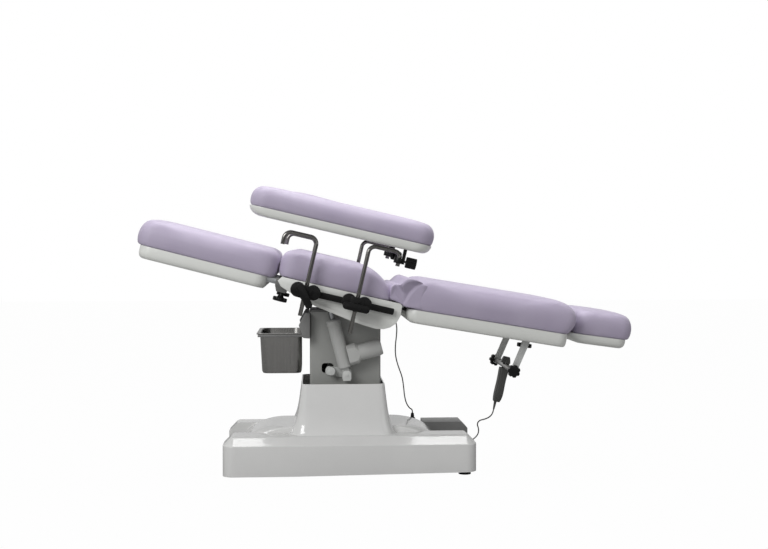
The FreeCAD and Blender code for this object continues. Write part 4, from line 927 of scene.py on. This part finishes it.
@dataclass
class Gusset:
    """Pleated leatherette that closes the gap between the seat and back cushions.

    Args:
        half: half of its width across the table.
        outline: its section in the seat's own measures: along, up.
        crease: where the back cushion's slanted end meets its side: up, along.
        leaf: where the pleat by the hinge ends: up, along.
        hinge: where the pleats fan out from: along, up.
        voxel: edge of its even mesh in metres.
        passes: smoothing passes after it is shaped.
        sharp: angle from which one of its edges stays sharp.
        margin: width of the strip at each end that takes the folds.
        wave: height of the slight waves on its top in metres.
        long_pace: radians of the long waves for each millimetre across.
        long_start: where the long waves start, in radians.
        short_pace: radians of the short waves for each millimetre across.
        short_share: height of the short waves as a share of the long ones.
        level_from: where along the section the waves have died out.
        fade: length over which they die out.
        side: half width against the back cushion's side.
        side_end: where along the section that side starts to draw in.
        side_slope: how fast it draws in.
        leaf_half: least half width of the pleat by the hinge.
        leaf_slope: how fast that pleat draws in from the crease.
        fan_half: half width of the small pleats.
        fan_depth: how far the small pleats stand out.
        fan_pace: turns of the small pleats for each radian round the hinge.
        fan_start: turn at which the first small pleat starts.
        front: where along the section its front starts to draw in.
        front_slope: how fast it draws in there.
    """

    half: float = 284.0
    outline: Sequence[tuple[float, float]] = ((78, 46), (72, 70), (72, 92), (79, 102), (87, 107), (95, 107),
                                              (100, 105), (106, 113), (115, 126), (125, 136), (138, 140.5),
                                              (152, 139), (180, 134), (206, 126), (206, 34), (140, 30),
                                              (120, 38))
    crease: Sequence[tuple[float, float]] = ((30, 136), (44, 139), (86, 153), (119, 173), (130, 196),
                                             (142, 230))
    leaf: Sequence[tuple[float, float]] = ((30, 126), (42, 128), (59, 131), (75, 131), (91, 117), (106, 100))
    hinge: tuple[float, float] = (134.0, 36.0)
    voxel: float = 0.0032
    passes: int = 2
    sharp: float = 70.0
    margin: float = 34.0
    wave: float = 0.0009
    long_pace: float = 0.023
    long_start: float = 1.0
    short_pace: float = 0.061
    short_share: float = 0.6
    level_from: float = 150.0
    fade: float = 30.0
    side: float = 291.0
    side_end: float = 192.0
    side_slope: float = 0.35
    leaf_half: float = 258.0
    leaf_slope: float = 0.62
    fan_half: float = 280.0
    fan_depth: float = 7.5
    fan_pace: float = 3.4
    fan_start: float = 0.35
    front: float = 86.0
    front_slope: float = 0.7

    def build(self, shop: Workshop) -> None:
        """Makes the gusset by running its section across the table and shaping its ends.

        Args:
            shop: the workshop.
        """
        work = bmesh.new()
        corners = [work.verts.new(Vector((along, -self.half, up)) * MM) for along, up in self.outline]
        face = work.faces.new(corners)
        grown = bmesh.ops.extrude_face_region(work, geom=[face])
        moved = [piece for piece in grown["geom"] if isinstance(piece, bmesh.types.BMVert)]
        bmesh.ops.translate(work, verts=moved, vec=(0, 2 * self.half * MM, 0))
        bmesh.ops.recalc_face_normals(work, faces=work.faces)
        mesh = bpy.data.meshes.new("gusset_pleats")
        work.to_mesh(mesh)
        work.free()
        item = link_object("gusset_pleats", mesh)
        even_mesh(item, self.voxel)
        work = bmesh.new()
        work.from_mesh(item.data)
        self.shape(work)
        ease(work, self.passes)
        bmesh.ops.transform(work, matrix=SEAT.matrix, verts=work.verts)
        work.to_mesh(item.data)
        work.free()
        shade(item.data, sharp_from=self.sharp)
        shop.paint(item, "lilac")
        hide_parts("back_gusset")
        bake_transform(item)
        shop.report(item)

    def shape(self, work: bmesh.types.BMesh) -> None:
        """Moves the ends in and out to their folds, and ripples the top slightly.

        Args:
            work: the gusset's mesh, in the seat's own frame.
        """
        for vertex in work.verts:
            along, across, up = vertex.co * METRE
            share = min(1.0, max(0.0, (abs(across) - self.half + self.margin) / self.margin))
            vertex.co.y += math.copysign((self.width(along, up) - self.half) * share * MM, across)
            ripple = (math.sin(across * self.short_pace) * self.short_share
                      + math.sin(across * self.long_pace + self.long_start))
            height = min(1.0, max(0.0, (self.level_from - along) / self.fade))
            vertex.co.z += self.wave * ripple * (1.0 - share) * height

    def width(self, along: float, up: float) -> float:
        """Half width of the gusset at a point of its section.

        Args:
            along: place along the seat.
            up: height above it.

        Returns:
            The half width.
        """
        crease = between(up, self.crease)
        if along >= crease:
            return self.side - max(0.0, along - self.side_end) * self.side_slope
        if along > between(up, self.leaf):
            return max(self.leaf_half, self.side - self.leaf_slope * (crease - along))
        lean = math.atan2(up - self.hinge[1], self.hinge[0] - along)
        fold = abs(math.sin(lean * self.fan_pace + self.fan_start))
        return self.fan_half + self.fan_depth * fold - max(0.0, self.front - along) * self.front_slope


@dataclass
class Upholstery:
    """All cushions and the gusset.

    Args:
        cushions: every cushion, with its section and the height of its lower face there.
    """

    cushions: list[Cushion] = field(default_factory=lambda: [
        Cushion("seat_pad", SEAT, seam=38.3), Cushion("leg_pad", LEG, seam=10.0),
        Cushion("back_pad", BACK, seam=-5.5), Cushion("headrest_pad", HEAD, seam=30.0),
        Cushion("rest_pad_near", SEAT, seam=272.3, cap=4.0),
        Cushion("rest_pad_far", SEAT, seam=294.3, cap=4.0)])

    def build(self, shop: Workshop) -> None:
        """Makes every cushion and the gusset.

        Args:
            shop: the workshop.
        """
        for cushion in self.cushions:
            cushion.build(shop)
        Gusset().build(shop)


@dataclass
class Chassis:
    """Base, column, drive and basin.

    Args:
        smooth_nodes: nodes that get softened edges.
        plain_nodes: nodes whose mesh stays as it is.
        soft_edge: width of a softened edge where the node has none of its own.
        thin_edge: width of the softened edges of the basin's sheet.
    """

    smooth_nodes: Sequence[str] = ("control_box", "column_cover", "basin_bracket", "basin",
                                   "actuator_bracket", "tilt_actuator_tube", "tilt_actuator_motor",
                                   "tilt_actuator_rod", "tilt_head", "cable_glands", "levelling_feet")
    plain_nodes: Sequence[str] = ("base_cover", "base_frame", "mast_guide", "mast", "tilt_shaft")
    soft_edge: float = 0.8
    thin_edge: float = 0.4

    def build(self, shop: Workshop) -> None:
        """Finishes the nodes of the base and the column.

        Args:
            shop: the workshop.
        """
        widths = {"basin": self.thin_edge, "column_cover": 0.0}
        for node in self.smooth_nodes:
            shop.refine(node, widths.get(node, self.soft_edge))
        for node in self.plain_nodes:
            shop.dress(node)


@dataclass
class Sections:
    """Rigid parts of the seat, leg, back and head sections.

    Args:
        smooth_nodes: nodes that get softened edges.
        plain_nodes: nodes whose mesh stays as it is.
        soft_edge: width of a softened edge where the node has none of its own.
        hinge_shade_reach: length of the back frame from the hinge whose faces are painted black, as painted
            shade in the recess under the gusset, in metres.
    """

    smooth_nodes: Sequence[str] = ("seat_shell", "leg_board", "back_board", "headrest_board", "side_rails",
                                   "leg_sockets", "leg_prongs", "leg_knob_near", "leg_knob_far",
                                   "back_frame", "headrest_knob", "paper_roll_bar", "paper_roll_knobs",
                                   "handset", "headrest_prongs")
    plain_nodes: Sequence[str] = ("seat_frame", "back_hinge_pins", "back_actuator_tube", "back_actuator_rod")
    soft_edge: float = 0.8
    hinge_shade_reach: float = 0.034

    def build(self, shop: Workshop) -> None:
        """Finishes the nodes of the lying surface.

        Args:
            shop: the workshop.
        """
        widths = {"seat_shell": 2.5, "leg_board": 1.5, "back_board": 0.0, "headrest_board": 1.5,
                  "handset": 1.2}
        made = {node: shop.refine(node, widths.get(node, self.soft_edge)) for node in self.smooth_nodes}
        for node in self.plain_nodes:
            shop.dress(node)
        # The back frame's faces near the hinge get the black coat: painted shade in the recess under the
        # gusset, between seat and back.
        inverse = BACK.matrix.inverted()
        shop.second(made["back_frame"], "rail_black", lambda point: (inverse @ point).x < self.hinge_shade_reach)


@dataclass
class SideFittings:
    """Clamps, handles, rods and rests on one side rail.

    Args:
        side: the side.
        moulded_edge: width of the softened edges of the moulded fittings.
        thin_edge: width of the softened edges of the rods and the rest's shell.
        board: thickness of the rest's white board in metres.
        near_top: height of the near rest's board in the seat's frame, in metres.
        far_top: the same of the far rest, which stands higher.
    """

    side: Side
    moulded_edge: float = 1.2
    thin_edge: float = 0.6
    board: float = 0.022
    near_top: float = 0.262
    far_top: float = 0.284

    def build(self, shop: Workshop) -> None:
        """Finishes one side's fittings.

        Args:
            shop: the workshop.
        """
        word = self.side.value
        for node in ("leg_end_clamp_", "head_end_clamp_", "leg_end_handle_", "head_end_handle_",
                     "rest_knob_"):
            shop.refine(node + word, self.moulded_edge)
        for node in ("hook_rod_", "rest_rod_"):
            shop.refine(node + word, self.thin_edge).data.materials[0] = shop.palette["polished"]
        shell = shop.refine("rest_shell_" + word, self.thin_edge)
        inverse = SEAT.matrix.inverted()
        under = (self.near_top if self.side is Side.NEAR else self.far_top) - self.board
        shop.second(shell, "black", lambda point: (inverse @ point).z < under)


@dataclass(frozen=True)
class Lamp:
    """One large soft lamp.

    Args:
        name: its name.
        place: where it hangs, in metres.
        aim: point that it faces, in metres.
        size: side of its square in metres.
        power: its power in watts.
    """

    name: str
    place: Point
    aim: Point
    size: float
    power: float

    def hang(self) -> None:
        """Adds the lamp to the scene."""
        data = bpy.data.lights.new(self.name, "AREA")
        data.shape = "SQUARE"
        data.size = self.size
        data.energy = self.power
        item = bpy.data.objects.new(self.name, data)
        item.location = self.place
        item.rotation_euler = (Vector(self.aim) - Vector(self.place)).to_track_quat("-Z", "Y").to_euler()
        bpy.context.scene.collection.objects.link(item)


@dataclass
class Studio:
    """Camera, pale floor and soft light.

    Args:
        place: the camera's place.
        yaw: its turn about Z in degrees.
        pitch: how far it looks down in degrees.
        focal: its focal length in pixels of the photograph.
        photo_width: the photograph's width in pixels.
        sensor: width of its sensor.
        floor_reach: reach of the floor from its middle in metres.
        floor_tone: grey that the floor gives back to the object.
        floor_glow: share of white that the camera sees in it.
        soft_light: strength of the surround on dull surfaces.
        mirror_light: its strength in reflections.
        lamps: the lamps.
    """

    place: Point = from_zero(-268, -4610, 883)
    yaw: float = -3.58
    pitch: float = 1.42
    focal: float = 1150.0
    photo_width: float = 768.0
    sensor: float = 36.0
    floor_reach: float = 14.0
    floor_tone: float = 0.34
    floor_glow: float = 0.985
    soft_light: float = 0.28
    mirror_light: float = 0.62
    lamps: Sequence[Lamp] = (Lamp("key", (-2.2, -2.9, 2.5), (-0.1, 0.0, 0.5), size=1.8, power=72.0),
                             Lamp("fill", (2.8, -2.4, 1.6), (0.0, 0.0, 0.6), size=2.2, power=12.0),
                             Lamp("top", (0.0, 0.3, 3.6), (0.0, 0.0, 0.4), size=2.6, power=104.0))

    def camera(self) -> None:
        """Adds the camera at the photograph's viewpoint."""
        data = bpy.data.cameras.new("view")
        data.lens = self.focal / self.photo_width * self.sensor
        data.sensor_width = self.sensor
        data.clip_end = 60.0
        item = bpy.data.objects.new("view", data)
        item.location = self.place
        item.rotation_euler = (math.radians(90.0 - self.pitch), 0.0, math.radians(self.yaw))
        bpy.context.scene.collection.objects.link(item)
        bpy.context.scene.camera = item

    def floor(self) -> None:
        """Adds the pale floor, which stays white to the camera and keeps the shadow."""
        work = bmesh.new()
        bmesh.ops.create_grid(work, x_segments=2, y_segments=2, size=self.floor_reach)
        mesh = bpy.data.meshes.new("studio_floor")
        work.to_mesh(mesh)
        work.free()
        item = link_object("studio_floor", mesh)
        build = MaterialBuilder("pale_floor")
        build.set(Roughness=0.9)
        build.shader.inputs["Base Color"].default_value = (*[self.floor_tone] * 3, 1.0)
        glow = build.node("ShaderNodeEmission")
        glow.inputs["Strength"].default_value = 1.0
        mix = build.node("ShaderNodeMixShader")
        path = build.node("ShaderNodeLightPath")
        share = build.node("ShaderNodeMath", operation="MULTIPLY")
        share.inputs[1].default_value = self.floor_glow
        build.link(path.outputs["Is Camera Ray"], share.inputs[0])
        build.link(share.outputs["Value"], mix.inputs["Fac"])
        build.link(build.shader.outputs["BSDF"], mix.inputs[1])
        build.link(glow.outputs["Emission"], mix.inputs[2])
        build.link(mix.outputs["Shader"], build.tree.nodes["Material Output"].inputs["Surface"])
        mesh.materials.append(build.material)

    def world(self) -> None:
        """Adds a soft surround that the camera sees as white."""
        world = bpy.data.worlds.new("surround")
        bpy.context.scene.world = world
        world.use_nodes = True
        build = TreeBuilder(world.node_tree)
        back = build.tree.nodes["Background"]
        back.inputs["Color"].default_value = (1.0, 1.0, 1.0, 1.0)
        path = build.node("ShaderNodeLightPath")
        glossy = build.node("ShaderNodeMapRange")
        glossy.inputs["To Min"].default_value = self.soft_light
        glossy.inputs["To Max"].default_value = self.mirror_light
        seen = build.node("ShaderNodeMapRange")
        seen.inputs["To Max"].default_value = 1.0
        build.link(path.outputs["Is Glossy Ray"], glossy.inputs["Value"])
        build.link(path.outputs["Is Camera Ray"], seen.inputs["Value"])
        build.link(glossy.outputs["Result"], seen.inputs["To Min"])
        build.link(seen.outputs["Result"], back.inputs["Strength"])

    def build(self) -> None:
        """Sets the whole stage up."""
        bpy.context.scene.view_settings.view_transform = "Standard"
        self.camera()
        self.floor()
        self.world()
        for lamp in self.lamps:
            lamp.hang()


def main() -> None:
    """Builds the stage and every sub-assembly."""
    logging.basicConfig(level=logging.INFO, format="%(message)s")
    Studio().build()
    shop = Workshop({slot: finish.material() for slot, finish in FINISHES.items()})
    Cords().build(shop)
    Chassis().build(shop)
    Sections().build(shop)
    for side in Side:
        SideFittings(side).build(shop)
    Upholstery().build(shop)


if __name__ == "__main__":
    main()
